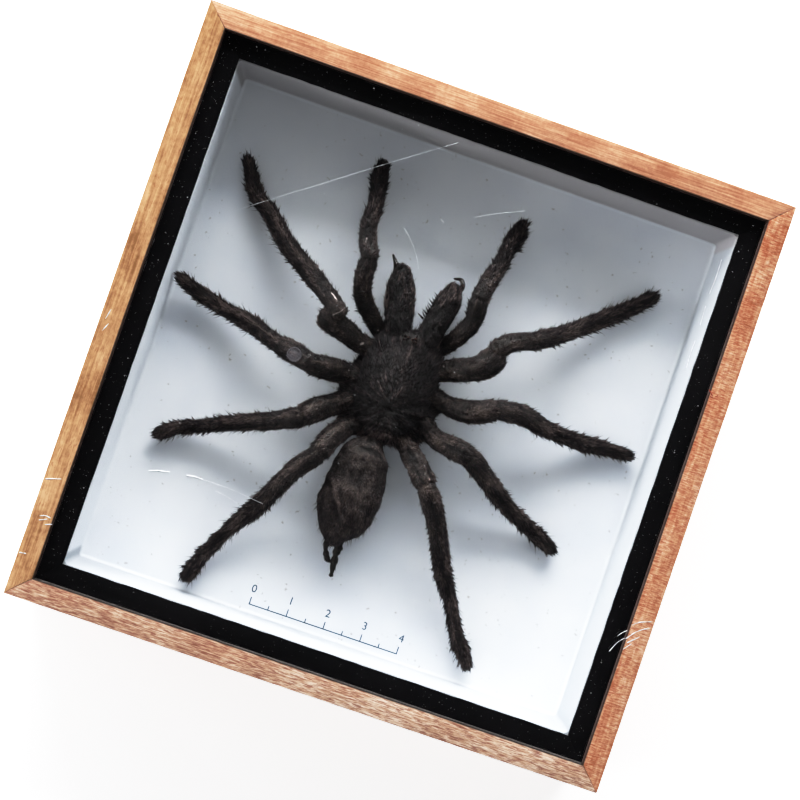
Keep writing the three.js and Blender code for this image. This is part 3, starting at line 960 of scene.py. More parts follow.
def aroundRun(points, guide):
    # where each point lies: share of length, angle round the run, and its place taken apart
    index = nearest(points, guide["places"])
    way = guide["ways"][index]
    centre = guide["places"][index]
    ahead = ((points - centre) * way).sum(1)
    side = np.cross(way, (0, 0, 1))
    side /= np.linalg.norm(side, axis=1)[:, None]
    top = np.cross(side, way)
    offset = points - centre - way * ahead[:, None]
    across = (offset * side).sum(1)
    above = (offset * top).sum(1) * guide["flatness"][index]
    foot = centre + way * ahead[:, None]
    return foot, side, top, across, above, guide["lengths"][index] + ahead


def setSkin(piece, ridge, pale):
    # what the skin's finish and the fur read: a tone painted lighter where the skin stands out and darker in
    # its hollows, as painted light and shade mixed with real tone patterns, and bare pale membrane
    setValues(piece, "ridge", np.clip(ridge, 0, 1))
    setValues(piece, "pale", np.clip(pale, 0, 1))


def shapeTube(tube, guide, joints, looks, seed):
    # furrows and wrinkles along it, and a crease with a collar at each joint
    foot, side, top, across, above, along = aroundRun(pointsOf(tube), guide)
    angle = np.arctan2(above, across)
    ring = np.stack([np.cos(angle), np.sin(angle)], 1)
    furrows = noiseAt(np.column_stack([ring * 1.1, along / 7 + seed]))
    wrinkles = 1 - 2.4 * np.abs(noiseAt(np.column_stack([ring * 2.6, along / 4.5 + seed * 1.7])))
    cross = noiseAt(np.column_stack([ring * 1.4, along * 0.9 + seed]))
    swell = looks["furrow"] * furrows + looks["wrinkle"] * (wrinkles - 0.4) + 0.035 * cross
    pale = np.zeros(len(along))
    total = guide["lengths"][-1]
    for share, strength in joints:
        place = share * total + 0.35 * np.sin(angle * 2 + seed)
        swell += looks["collar"] * bell(along, place - 0.7, 0.5)
        swell -= looks["crease"] * bell(along, place, 0.33)
        gaps = noiseAt(np.column_stack([ring * 1.8, np.full(len(along), seed + share * 9)]))
        pale += (strength * bell(along, place, 0.17) * smoothStep(gaps, -0.25, 0.2)
                 * smoothStep(np.sin(angle), -0.3, 0.5))
    stripes = noiseAt(np.column_stack([ring, along / 9 + 40 + seed]))
    stripes = bell(np.abs(angle - math.pi / 2), 0.45, 0.2) * smoothStep(stripes, -0.15, 0.25)
    scale = (looks["slim"] + swell)[:, None]
    setPoints(tube, foot + (side * across[:, None] + top * above[:, None]) * scale)
    # raised parts and two stripes along the upper flanks painted lighter, furrows darker: painted light and
    # shade
    setSkin(tube, 0.28 + 0.32 * wrinkles + 0.45 * furrows + 0.2 * stripes, pale)
    return tube


def joinedPiece(parts, name):
    clearSelection()
    for part in parts:
        part.select_set(True)
    bpy.context.view_layer.objects.active = parts[0]
    if len(parts) > 1:
        bpy.ops.object.join()
    parts[0].name = parts[0].data.name = name
    return parts[0]


skinLooks = {
    "limb": {"dark": (13, 11, 10), "mid": (30, 25, 22), "light": (66, 55, 47), "gloss": 0.5},
    "carapace": {"dark": (10, 9, 8), "mid": (22, 18, 17), "light": (50, 43, 38), "gloss": 0.52},
    "abdomen": {"dark": (16, 14, 13), "mid": (32, 28, 26), "light": (64, 56, 50), "gloss": 0.65},
}
furLooks = {
    "hairSides": 3, "hairRadius": 0.07,
    "bristleRadius": 0.05, "bristleCuts": (0.35, 0.7), "bristleBend": 0.22,
    "dark": (14, 11, 13), "mid": (40, 32, 34), "light": (110, 95, 92),
}
membranePaint = {"dull": (108, 98, 98), "bright": (184, 172, 168)}
hornPaint = {"dark": (10, 7, 7), "warm": (38, 20, 16)}


def skinFinish(name, looks):
    material, shader, place = startFinish(name)
    ridge, pale = place.kept("ridge"), place.kept("pale")
    mottle = place.noise([0.9] * 3, detail=4, roughness=0.65)
    fine = place.noise([4.5] * 3, detail=3, roughness=0.7)
    # painted light and shade from the relief, mixed with real mottling
    colour = (ridge * 0.55 + mottle * 0.45).tones(looks, 0.25, 0.5, 0.85)
    # pale joint membrane, brightest where the glints are painted as highlights
    membrane = pale.ramp((0.3, tint(*membranePaint["dull"])), (0.9, tint(*membranePaint["bright"])))
    colour = pale.between(0.12, 0.7).blend(colour, membrane)
    feed(shader, {
        "Base Color": colour,
        "Roughness": looks["gloss"] + fine * 0.2 - pale * 0.15,
        "Normal": bumped(fine + mottle * 0.6, 0.55, 0.12),
        "Specular IOR Level": 0.3,
    })
    return material


def furFinish():
    # each hair has its own tone, changed a little by a pattern finer than a hair is long
    material, shader, place = startFinish("spiderFur")
    strand = place.noise([1.7] * 3, detail=2, roughness=0.6)
    colour = (place.kept("shade") * 0.8 + strand * 0.2).tones(furLooks, 0.15, 0.5, 0.9)
    feed(shader, {"Base Color": colour, "Roughness": 0.55 + strand * 0.15, "Specular IOR Level": 0.25})
    return material


def hornFinish():
    material, shader, place = startFinish("blackHorn")
    bands = place.noise([0.5] * 3, detail=2)
    colour = bands.ramp((0.4, tint(*hornPaint["dark"])), (0.65, tint(*hornPaint["warm"])))
    feed(shader, {"Base Color": colour, "Roughness": 0.16 + bands * 0.1,
                  "Normal": bumped(bands, 0.2, 0.05), "Coat Weight": 0.3})
    return material


def modelHair(radius, cuts=(), bend=0.0):
    # one spike of unit length, cut at these heights and bent towards +X at its tip
    clearSelection()
    bpy.ops.mesh.primitive_cone_add(vertices=furLooks["hairSides"], radius1=radius, depth=1,
                                    location=(0, 0, 0.5))
    hair = bpy.context.object
    applyPlace(hair)
    cutAcross(hair, (0, 0, 1), [(0, 0, height) for height in cuts])
    for vertex in hair.data.vertices:
        vertex.co.x += bend * vertex.co.z ** 2
    editAll(hair)
    bpy.ops.mesh.quads_convert_to_tris()
    bpy.ops.object.mode_set(mode="OBJECT")
    return hair


def scattered(skin, count, draw, lowest=-0.35):
    # random places on a skin, fewer where it faces down, with the normals and one nearby vertex
    mesh = skin.data
    mesh.calc_loop_triangles()
    corners = np.empty(len(mesh.loop_triangles) * 3, int)
    mesh.loop_triangles.foreach_get("vertices", corners)
    a, b, c = (pointsOf(skin)[corners.reshape(-1, 3)[:, k]] for k in range(3))
    normals = np.cross(b - a, c - a)
    areas = np.linalg.norm(normals, axis=1) + 1e-12
    normals /= areas[:, None]
    share = areas * smoothStep(normals[:, 2], lowest - 0.3, lowest + 0.4)
    chosen = draw.choice(len(areas), count, p=share / share.sum())
    u, v = draw.random(count), draw.random(count)
    over = u + v > 1
    u[over], v[over] = 1 - u[over], 1 - v[over]
    roots = a[chosen] + (b - a)[chosen] * u[:, None] + (c - a)[chosen] * v[:, None]
    return roots, normals[chosen], corners.reshape(-1, 3)[chosen, 0]


def unit(ways):
    return ways / (np.linalg.norm(ways, axis=1)[:, None] + 1e-9)


def axesOf(ways, lengths, bendTo):
    # a copy's axes: Z along its way, X towards the side that it bends to
    x = unit(bendTo - ways * (bendTo * ways).sum(1)[:, None])
    y = np.cross(ways, x)
    return np.stack([x, y, ways], 2) * lengths[:, None, None]


def hairWays(roots, normals, flow, lean, stray, draw):
    lying = unit(flow - normals * (flow * normals).sum(1)[:, None])
    lean = np.radians(lean)
    return unit(lying * np.cos(lean)[:, None] + normals * np.sin(lean)[:, None]
                + draw.normal(0, stray, roots.shape))


def growFur(name, skin, finish, flowAt, looks, seed, toneAt=None):
    # short hairs that lie with the flow, drawn together in tufts, and longer bent bristles
    draw = np.random.default_rng(seed)
    roots, normals, ends = scattered(skin, looks["count"], draw)
    covered = ~isBare(roots)
    roots, normals, ends = roots[covered], normals[covered], ends[covered]
    count = len(roots)
    flow, growth = flowAt(roots)
    lean = draw.uniform(*looks["lean"], count)
    growth = growth * (1 + 0.45 * noiseAt(roots * 0.45))
    lengths = looks["length"] * growth * draw.uniform(0.5, 1.2, count)
    leaders = draw.choice(count, max(2, int(count * looks["tufts"])), replace=False)
    lean[leaders] = draw.uniform(*looks["tuftLean"], len(leaders))
    lengths[leaders] = (looks["length"] * growth[leaders] * looks["tuftLength"]
                        * draw.uniform(0.55, 1.2, len(leaders)))
    ways = hairWays(roots, normals, flow, lean, looks["stray"], draw)
    tips = roots + ways * lengths[:, None]
    own = leaders[nearest(roots, roots[leaders])]
    close = np.linalg.norm(roots - roots[own], axis=1) < looks["tuftReach"]
    pull = (looks["tuftPull"] * close * draw.uniform(0.4, 1, count))[:, None]
    tips = tips * (1 - pull) + tips[own] * pull
    ways = tips - roots
    lengths = np.linalg.norm(ways, axis=1)
    ways = unit(ways)
    ridge = valuesOf(skin, "ridge")
    tones = looks["tone"] + 0.2 * draw.normal(0, 1, count)
    tones += looks["clumpTone"] * draw.normal(0, 1, count)[own]
    # the fur follows the skin's painted light and shade
    tones += looks["toneAndShadeWeight"] * (ridge[ends] - ridge.mean())
    if toneAt:
        tones += toneAt(roots)
    axes = axesOf(ways, lengths, normals + 0.01)
    fur = strewn(name, hairModel, roots - ways * 0.08, axes, np.clip(tones, 0, 1))
    roots, normals, ends = scattered(skin, looks["bristles"], draw, -0.1)
    flow, growth = flowAt(roots)
    ways = hairWays(roots, normals, flow, draw.uniform(28, 64, len(roots)), 0.18, draw)
    lengths = looks["bristleLength"] * growth * draw.uniform(0.6, 1.25, len(roots))
    long = strewn(name + "Long", bristleModel, roots - ways * 0.1, axesOf(ways, lengths, flow),
                  draw.uniform(0, 0.6, len(roots)))
    return keepPiece(joinedPiece([fur, long], name), name, finish)


limbFur = {
    "count": 13500, "length": 0.85, "lean": (8, 34), "stray": 0.17, "tufts": 0.045, "tuftReach": 0.45,
    "tuftPull": 0.72, "tuftLean": (20, 58), "tuftLength": 1.65, "bristles": 560, "bristleLength": 1.75,
    "tone": 0.43, "toneAndShadeWeight": 1.15, "clumpTone": 0.08,
}
palpFur = dict(limbFur, count=10000, bristles=360, tone=0.31)


def alongLine(places, one, other):
    # distance from a short line, seen from above
    one, other = np.array(one), np.array(other)
    way = other - one
    share = np.clip(((places[:, :2] - one) @ way) / (way @ way), 0, 1)
    return np.linalg.norm(places[:, :2] - one - share[:, None] * way, axis=1)


def isBare(roots):
    bare = alongLine(roots, *bodyLooks["eyeRow"]) < 1.5
    for one, other, width, strength in glintHighlights:
        bare |= (alongLine(roots, one, other) < width * 1.2) & (roots[:, 2] > 14)
    return bare


def limbFlow(guides):
    # hairs point towards the tip and grow longer on the outer half
    places = np.vstack([guide["places"] for guide in guides])
    ways = np.vstack([guide["ways"] for guide in guides])
    shares = np.concatenate([guide["lengths"] / guide["lengths"][-1] * 0.55 + 0.45 * order
                             for order, guide in enumerate(guides)])

    def flowAt(roots):
        index = nearest(roots, places)
        return ways[index], 0.8 + 0.5 * smoothStep(shares[index], 0.5, 0.75)

    return flowAt


def makeLimb(name, looks, seed, skin, fur):
    parts, guides = [], []
    for part, ends in (("thigh", (0.3, 0.34)), ("shank", (0.36, 0.5))):
        core = smoothRun(looks[part], limbLooks["step"])
        if part == "shank":
            core = core[np.linalg.norm(core[:, :3] - core[-1, :3], axis=1) > limbLooks["tipCut"]]
        run = roundedRun(core, *ends)
        guide = guideOf(run)
        tube = drawTube(name + part, run, limbLooks["sides"], limbLooks["levels"])
        joints = ((0.30, 0.1),) if part == "thigh" else ((0.03, looks["kneeRing"]), *looks["joints"])
        parts.append(shapeTube(tube, guide, joints, limbLooks, seed + len(parts) * 0.37))
        guides.append(guideOf(core))
    limb = joinedPiece(parts, name)
    addGlints(limb)
    keepPiece(limb, name, skin, (nodeName(name),), 180)
    coat = palpFur if name.startswith("palp") else limbFur
    growFur(name + "Fur", limb, fur, limbFlow(guides), coat, seed)


def addGlints(limb):
    # painted highlights on patches of bare joint membrane
    places = pointsOf(limb)
    values = valuesOf(limb, "pale")
    ragged = 1 + 0.8 * noiseAt(places * 1.1)
    for one, other, width, strength in glintHighlights:
        away = alongLine(places, one, other) * ragged
        values = np.maximum(values, strength * bell(away, 0, width) * (places[:, 2] > 15))
    limb.data.attributes["pale"].data.foreach_set("value", np.clip(values, 0, 1))


def nodeName(name):
    # legLeft1 gives leg_left_1
    return "".join("_" + sign.lower() if sign.isupper() or sign.isdigit() else sign for sign in name)


bodyLooks = {
    "step": 1.0, "sides": 24, "levels": 2,
    "fovea": (-2.3, -3.4), "foveaDepth": 0.9, "headRise": 1.0, "grooveDepth": 0.3,
    "grooveAngles": (58, 24, -8, -40), "eyes": (-3.0, 14.5), "eyeRow": ((-4.4, 14.6), (-1.6, 14.6)),
}
bodyFur = {
    "carapace": {"count": 17000, "length": 1.4, "lean": (1, 8), "stray": 0.05, "tufts": 0.04,
                 "tuftReach": 0.6, "tuftPull": 0.5, "tuftLean": (3, 12), "tuftLength": 1.3,
                 "bristles": 420, "bristleLength": 1.6, "tone": 0.06, "toneAndShadeWeight": 0.3, "clumpTone": 0.06},
    "coxae": {"count": 9000, "length": 1.3, "lean": (6, 30), "stray": 0.16, "tufts": 0.03,
              "tuftReach": 0.7, "tuftPull": 0.6, "tuftLean": (12, 40), "tuftLength": 1.4,
              "bristles": 260, "bristleLength": 1.8, "tone": 0.22, "toneAndShadeWeight": 0.0, "clumpTone": 0.12},
    "abdomen": {"count": 22000, "length": 0.8, "lean": (4, 20), "stray": 0.1, "tufts": 0.05,
                "tuftReach": 0.4, "tuftPull": 0.4, "tuftLean": (8, 26), "tuftLength": 1.2,
                "bristles": 420, "bristleLength": 1.5, "tone": 0.45, "toneAndShadeWeight": 0.35, "clumpTone": 0.08},
    "chelicera": {"count": 6500, "length": 0.95, "lean": (4, 20), "stray": 0.1, "tufts": 0.04,
                  "tuftReach": 0.5, "tuftPull": 0.6, "tuftLean": (10, 40), "tuftLength": 1.5,
                  "bristles": 200, "bristleLength": 1.5, "tone": 0.02, "toneAndShadeWeight": 1.9, "clumpTone": 0.1},
    "spinneret": {"count": 900, "length": 0.42, "lean": (15, 45), "stray": 0.18, "tufts": 0.04,
                  "tuftReach": 0.4, "tuftPull": 0.5, "tuftLean": (24, 52), "tuftLength": 1.3,
                  "bristles": 14, "bristleLength": 0.9, "tone": 0.32, "toneAndShadeWeight": 0.8, "clumpTone": 0.08},
}
coxaLooks = {"middle": (-3.2, -2.6, 14.4), "size": (11.6, 10.2, 3.6), "bump": 3.2, "spread": 0.23}


def bodyTube(name, ends):
    run = roundedRun(smoothRun(spineRuns[name], bodyLooks["step"]), *ends)
    return drawTube(name, run, bodyLooks["sides"], bodyLooks["levels"]), guideOf(run)


def flattened(tube, guide, slim=0.985):
    foot, side, top, across, above, along = aroundRun(pointsOf(tube), guide)
    return foot + (side * across[:, None] + top * above[:, None]) * slim


def makeCarapace(skin, fur):
    tube, guide = bodyTube("carapace", (0.2, 0.16))
    places = flattened(tube, guide)
    x, y, z = places.T
    foveaX, foveaY = bodyLooks["fovea"]
    upper = smoothStep(z, 16, 19)
    away = np.hypot(x - foveaX, y - foveaY)
    angle = np.degrees(np.arctan2(y - foveaY, np.abs(x - foveaX)))
    grooves = sum(bell(angle, centre, 6.5) for centre in bodyLooks["grooveAngles"])
    grooves = grooves * smoothStep(away, 1.5, 4) * (1 - smoothStep(away, 8.5, 11.5))
    head = bell(x, foveaX, 4.6) * smoothStep(y, -2, 6)
    crescent = bell(y, foveaY - 0.35 + 0.5 * ((x - foveaX) / 2.6) ** 2, 0.45) * bell(x, foveaX, 1.8)
    rays = noiseAt(np.column_stack([np.arctan2(y - foveaY, x - foveaX) * 5, away * 0.13, 0 * x]))
    lumps = noiseAt(places * 0.22)
    tubercle = bell(x, bodyLooks["eyes"][0], 1.9) * bell(y, bodyLooks["eyes"][1], 1.2)
    lift = (bodyLooks["headRise"] * head - bodyLooks["grooveDepth"] * grooves
            - bodyLooks["foveaDepth"] * crescent + 0.35 * rays * smoothStep(away, 1, 4)
            + 0.5 * lumps + 0.8 * tubercle)
    places[:, 2] += lift * upper
    outline = noiseAt(np.column_stack([angle * 0.05, np.sign(x - foveaX), 0 * x]))
    places[:, :2] += unit(places[:, :2] - (foveaX, 2)) * (0.45 * outline)[:, None]
    setPoints(tube, places)
    # the grooves and pit painted darker as shade and the raised head lighter, over the real rays of hair
    setSkin(tube, 0.38 + 0.9 * rays - 0.45 * grooves - 0.4 * crescent + 0.25 * head, 0 * x)
    keepPiece(tube, "carapaceShell", skin, ("prosoma",), 180)

    def flowAt(roots):
        out = roots - (foveaX, foveaY, 16)
        out[:, 2] = 0
        rim = smoothStep(np.hypot(roots[:, 0] - foveaX, (roots[:, 1] - 2) * 0.75), 7.5, 9.5)
        return unit(out), 0.85 + 0.75 * rim

    def toneAt(roots):
        # paler strands fan out in front of the middle pit; the pit is painted darker as shade, and the rear,
        # which faces away from the lamps, is painted paler as light
        x, y = roots[:, 0] - foveaX, roots[:, 1] - foveaY
        around, away = np.arctan2(y, x), np.hypot(x, y)
        strands = (noiseAt(np.column_stack([around * 8, away * 0.2, 0 * x]))
                   + noiseAt(np.column_stack([around * 17, away * 0.3, 3 + 0 * x])))
        fan = bell(around, 1.75, 0.75) * smoothStep(away, 0.8, 2.5) * (1 - smoothStep(away, 6, 12))
        pit = bell(y, 0.4 * (x / 2.6) ** 2 - 0.1, 0.6) * bell(x, 0, 2.2)
        paintedRearLight = smoothStep(-roots[:, 1], 7, 12)
        return (0.3 + 0.22 * fan) * strands + 0.08 * fan - 0.6 * pit + 0.85 * paintedRearLight

    growFur("carapaceFur", tube, fur, flowAt, bodyFur["carapace"], 71, toneAt)
    return places


def makeCoxae(skin, fur):
    # the roots of the legs round the carapace: a flat ball drawn out towards each leg
    middle = np.array(coxaLooks["middle"])
    clearSelection()
    bpy.ops.mesh.primitive_ico_sphere_add(subdivisions=5, radius=mm)
    ball = bpy.context.object
    places = pointsOf(ball)
    around = np.arctan2(places[:, 1], places[:, 0])
    bumps = np.zeros(len(places))
    for name, looks in limbRuns.items():
        if name.startswith("leg"):
            toLeg = np.array(looks["thigh"][1][:2]) - middle[:2]
            apart = np.angle(np.exp(1j * (around - math.atan2(toLeg[1], toLeg[0]))))
            bumps += bell(apart, 0, coxaLooks["spread"])
    reach = 1 + bumps * np.hypot(places[:, 0], places[:, 1]) ** 2 * coxaLooks["bump"] / coxaLooks["size"][0]
    places[:, :2] *= reach[:, None]
    places = places * coxaLooks["size"] + middle
    setPoints(ball, places + 0.3 * noiseAt(places * 0.4)[:, None] * (1, 1, 0))
    setSkin(ball, np.full(len(places), 0.3), np.zeros(len(places)))
    keepPiece(ball, "coxae", skin, (), 180)

    def flowAt(roots):
        out = (roots - middle) * (1, 1, 0.2)
        return unit(out), np.full(len(roots), 1.0)

    def toneAt(roots):
        # painted light: the rear coxae, facing away from the lamps, are paler
        return 0.7 * smoothStep(-roots[:, 1], 6, 12)

    growFur("coxaeFur", ball, fur, flowAt, bodyFur["coxae"], 77, toneAt)


def makeAbdomen(skin, fur):
    tube, guide = bodyTube("abdomen", (0.3, 0.3))
    places = flattened(tube, guide)
    x, y, z = places.T
    upper = smoothStep(z, 15.5, 19)
    start, end = np.array((-10.5, -24.5)), np.array((-4, -34))
    along = (end - start) / np.linalg.norm(end - start)
    offset = places[:, :2] - start
    share = offset @ along / np.linalg.norm(end - start)
    beside = offset @ np.array((-along[1], along[0]))
    fold = bell(beside, 0, 0.55) * smoothStep(share, -0.05, 0.15) * (1 - smoothStep(share, 0.85, 1.1))
    hollow = bell(beside, -1.5, 1.0) * smoothStep(share, -0.1, 0.2) * (1 - smoothStep(share, 0.8, 1.15))
    neck = bell(x, -3.6, 3.2) * bell(y, -15.2, 0.7)
    lumps = noiseAt(places * 0.17) + 0.5 * noiseAt(places * 0.42)
    wrinkles = 1 - 2.4 * np.abs(noiseAt(places * (0.5, 0.2, 0.5) + 9))
    lift = 0.55 * fold - 0.75 * hollow - 0.9 * neck + 0.95 * lumps + 0.28 * wrinkles
    places[:, 2] += lift * upper
    outline = noiseAt(np.column_stack([y * 0.28, np.sign(x + 4.2) * 2, 0 * x]))
    places[:, 0] += np.sign(x + 4.2) * smoothStep(np.abs(x + 4.2), 2, 6) * 0.5 * outline
    setPoints(tube, places)
    # hollow and neck painted darker, lumps and fold lighter: painted light and shade
    setSkin(tube, 0.42 + 0.5 * lumps + 0.3 * wrinkles + 0.4 * fold - 0.5 * neck, 0.1 * fold * upper)
    keepPiece(tube, "abdomenSkin", skin, ("abdomen",), 180)

    def flowAt(roots):
        flow = np.column_stack([(roots[:, 0] + 4.2) * 0.05, -np.ones(len(roots)), 0 * roots[:, 0]])
        return unit(flow), 0.8 + 0.5 * smoothStep(-roots[:, 1], 18, 36)

    def toneAt(roots):
        # a paler fold across it with painted shade along its hollow side, and at its front a painted shadow
        # under the carapace's edge with a pale rim
        offset = roots[:, :2] - start
        share = offset @ along / np.linalg.norm(end - start)
        beside = offset @ np.array((-along[1], along[0]))
        inside = smoothStep(share, -0.05, 0.1) * (1 - smoothStep(share, 0.9, 1.1))
        arch = roots[:, 1] + 0.12 * (roots[:, 0] + 3.4) ** 2
        front = bell(roots[:, 0], -3.4, 4.5)
        return (0.22 * bell(beside, 0.1, 0.35) * inside - 0.3 * bell(beside, -0.8, 0.5) * inside
                + 0.5 * bell(arch, -13.6, 0.45) * front - 0.6 * bell(arch, -14.9, 0.6) * front)

    growFur("abdomenFur", tube, fur, flowAt, bodyFur["abdomen"], 83, toneAt)


def runFlow(guide):
    def flowAt(roots):
        index = nearest(roots, guide["places"])
        return guide["ways"][index], np.ones(len(roots))
    return flowAt


def makeChelicera(name, skin, fur, seed):
    tube, guide = bodyTube(name, (0.3, 0.34))
    looks = dict(limbLooks, furrow=0.07, wrinkle=0.09, slim=0.9)
    shapeTube(tube, guide, (), looks, seed)
    keepPiece(tube, name, skin, (nodeName(name),), 180)

    def toneAt(roots):
        # long paler strands, palest near the tip
        strands = noiseAt(roots * (1.5, 0.3, 1.5) + seed) + 0.6 * noiseAt(roots * (3.2, 0.5, 3.2) + seed)
        return 0.8 * strands + 0.3 * (smoothStep(roots[:, 1], 18, 28) - 0.5)

    growFur(name + "Fur", tube, fur, runFlow(guide), bodyFur["chelicera"], seed, toneAt)


def makeFang(name, horn):
    run = roundedRun(smoothRun(spineRuns[name], 0.3), 0.2, 0.4)
    tube = drawTube(name, run, 12, 1)
    setPoints(tube, flattened(tube, guideOf(run), 1))
    keepPiece(tube, name, horn, (nodeName(name),), 180)


def makeSpinneret(name, skin, fur, seed):
    run = roundedRun(smoothRun(spineRuns[name], 0.5), 0.3, 0.4)
    guide = guideOf(run)
    tube = drawTube(name, run, 10, 2)
    looks = dict(limbLooks, furrow=0.2, wrinkle=0.24)
    shapeTube(tube, guide, ((0.36, 0.3), (0.68, 0.4)), looks, seed)
    places = pointsOf(tube)
    foot = aroundRun(places, guide)[0]
    swell = 1 + 0.7 * noiseAt(foot * 0.75 + seed)
    setPoints(tube, foot + (places - foot) * swell[:, None])
    keepPiece(tube, name, skin, (nodeName(name),), 180)
    growFur(name + "Fur", tube, fur, runFlow(guide), bodyFur["spinneret"], seed)


eyeLooks = {
    # x and y from the middle of the eye mound, and radius
    "places": ((-1.5, 0.5, 0.42), (1.5, 0.5, 0.42), (-0.6, 0.3, 0.52), (0.6, 0.3, 0.52),
               (-1.6, -0.4, 0.36), (1.6, -0.4, 0.36), (-1.0, -0.5, 0.3), (1.0, -0.5, 0.3)),
}
combLooks = {
    "count": 10, "from": (-1.9, 20.6, 16.9), "to": (0.5, 27.6, 16.6),
    "way": (-0.78, 0.6, 0.2), "length": 2.1, "stout": 2.2,
}


def makeEyes(horn, shell):
    clearSelection()
    bpy.ops.mesh.primitive_ico_sphere_add(subdivisions=2, radius=1)
    bead = bpy.context.object
    bead.scale = (1, 1, 0.7)
    applyPlace(bead)
    middle = bodyLooks["eyes"]
    roots, axes = [], []
    for x, y, radius in eyeLooks["places"]:
        place = np.array((middle[0] + x, middle[1] + y))
        height = shell[nearest(np.array([(*place, 40.0)]) * (1, 1, 0.02), shell * (1, 1, 0.02))[0], 2]
        roots.append((*place, height + radius * 0.8))
        axes.append(np.eye(3) * radius)
    eyes = strewn("eyes", bead, np.array(roots), np.array(axes))
    bpy.data.objects.remove(bead)
    keepPiece(eyes, "eyes", horn, (), 180)


def makeComb(horn):
    # a row of stout spines on the inner edge of the right chelicera
    draw = np.random.default_rng(5)
    share = (np.arange(combLooks["count"]) + 0.5)[:, None] / combLooks["count"]
    roots = np.array(combLooks["from"]) * (1 - share) + np.array(combLooks["to"]) * share
    ways = unit(np.array(combLooks["way"]) + draw.normal(0, 0.12, roots.shape))
    lengths = combLooks["length"] * draw.uniform(0.8, 1.15, len(roots))
    bend = np.tile((0.0, 1.0, 0.0), (len(roots), 1))
    axes = axesOf(ways, lengths, bend)
    axes[:, :, :2] *= combLooks["stout"]
    comb = strewn("fangComb", hairModel, roots - ways * 0.3, axes)
    keepPiece(comb, "fangComb", horn)


def makeSpider():
    limbSkin = skinFinish("limbSkin", skinLooks["limb"])
    shellSkin = skinFinish("carapaceSkin", skinLooks["carapace"])
    abdomenSkin = skinFinish("abdomenSkin", skinLooks["abdomen"])
    horn = hornFinish()
    fur = furFinish()
    shell = makeCarapace(shellSkin, fur)
    makeCoxae(shellSkin, fur)
    makeAbdomen(abdomenSkin, fur)
    makeChelicera("cheliceraLeft", shellSkin, fur, 11)
    makeChelicera("cheliceraRight", shellSkin, fur, 12)
    for name in ("fangLeft", "fangRight"):
        makeFang(name, horn)
    for seed, name in enumerate(("spinneretLeft", "spinneretRight"), 21):
        makeSpinneret(name, abdomenSkin, fur, seed)
    for seed, (name, looks) in enumerate(limbRuns.items(), 31):
        makeLimb(name, looks, seed, limbSkin, fur)
    makeEyes(horn, shell)
    makeComb(horn)


scratchLooks = {
    "hairline": {"width": 0.09, "lines": (
        ((-53.5, 29.8), (-45, 36.2), (-38, 41.3), (-30, 47.3), (-19, 55.4), (-8, 63.3)),
        ((2, 47.5), (7, 50.2), (13, 53)),
        ((-13.5, 39), (-12, 37.9), (-10.5, 36.3), (-8.6, 33.8), (-7, 31)),
        ((-40.4, -34.8), (-32.8, -34.8), (-24.1, -35.6)),
        ((-36, -36.4), (-33, -36.8), (-30, -37.6)),
    )},
    "crease": {"width": 0.2, "lines": (
        ((-5.9, 44.3), (-5.2, 43.8)),
        # painted highlights: light glinting on the paper's fold at the foot of the right wall
        ((63.2, 30), (63.0, 34), (63.1, 36.5)),
        ((63.0, 41), (62.8, 45.5)),
        ((62.7, 49), (62.9, 53), (62.8, 57.5)),
        ((67.9, -42.1), (69.0, -39.6), (70.2, -38.2)),
        ((68.6, -38.0), (69.4, -36.9), (70.2, -36.2)),
    )},
    "stroke": {"width": 0.5, "lines": (
        ((-52.6, -36.9), (-50.7, -36.3), (-48.4, -35.8)),
        ((-43.1, -35.0), (-41.8, -34.8), (-40.4, -34.8)),
    )},
}
dustLooks = {
    "count": 420, "smallest": 0.05, "largest": 0.17, "edge": 69.0,
    "cluster": (-48, 52), "spread": (16, 11), "rimFrom": 65.5,      # more of it there and along the border
}
ringLooks = {
    "middle": (-28.8, 1.2), "radius": 1.6, "thickness": 0.2, "skin": 0.02, "unevenness": 0.16, "flat": 0.55,
    "dropRing": {"tint": (104, 100, 106), "alpha": 0.5},
    "dropSkin": {"tint": (118, 116, 124), "alpha": 0.22},
}
markPaint = {"scratch": (236, 240, 245), "nick": (150, 62, 40), "dust": (225, 228, 232), "ink": (48, 80, 104)}
railMarks = {
    "width": 0.34, "nickWidth": 0.4, "sink": 0.03, "nickSink": 0.06,
    "lines": (
        ((70.9, -34.3), (72.5, -33.1), (75.0, -32.1)),
        ((70.8, -37.6), (72.4, -35.6), (73.8, -34.5), (75.1, -33.8)),
        ((71.4, -38.6), (73.4, -36.7)),
        ((70.9, -40.4), (72.0, -39.0)),
        ((-75.2, -46.7), (-73.8, -46.2), (-72.2, -45.7)),
        ((-73.7, -55.6), (-72.7, -55.2), (-71.7, -55.3)),
        ((-73.3, -56.5), (-72.2, -56.0)),
        ((-75.2, -65.5), (-74.4, -65.4)),
        ((-74.6, -5.4), (-74.1, -3.1)),
        ((-74.3, -8.3), (-73.6, -6.6)),
        ((-71.6, -57.1), (-70.8, -56.8)),
    ),
    "nicks": (((70.6, 25.4), (71.0, 24.9), (71.8, 25.0), (72.5, 25.6)), ((70.6, 26.0), (71.0, 25.6))),
}


def paleFinish(name, colour, rough):
    material, shader, place = startFinish(name)
    patch = place.noise([1.3] * 3, detail=2)
    darker = [value * 0.86 for value in colour]
    feed(shader, {
        "Base Color": patch.between(0.35, 0.65).blend(tint(*colour), tint(*darker)),
        "Roughness": rough + patch * 0.2,
        "Normal": bumped(patch, 0.3, 0.03),
    })
    return material


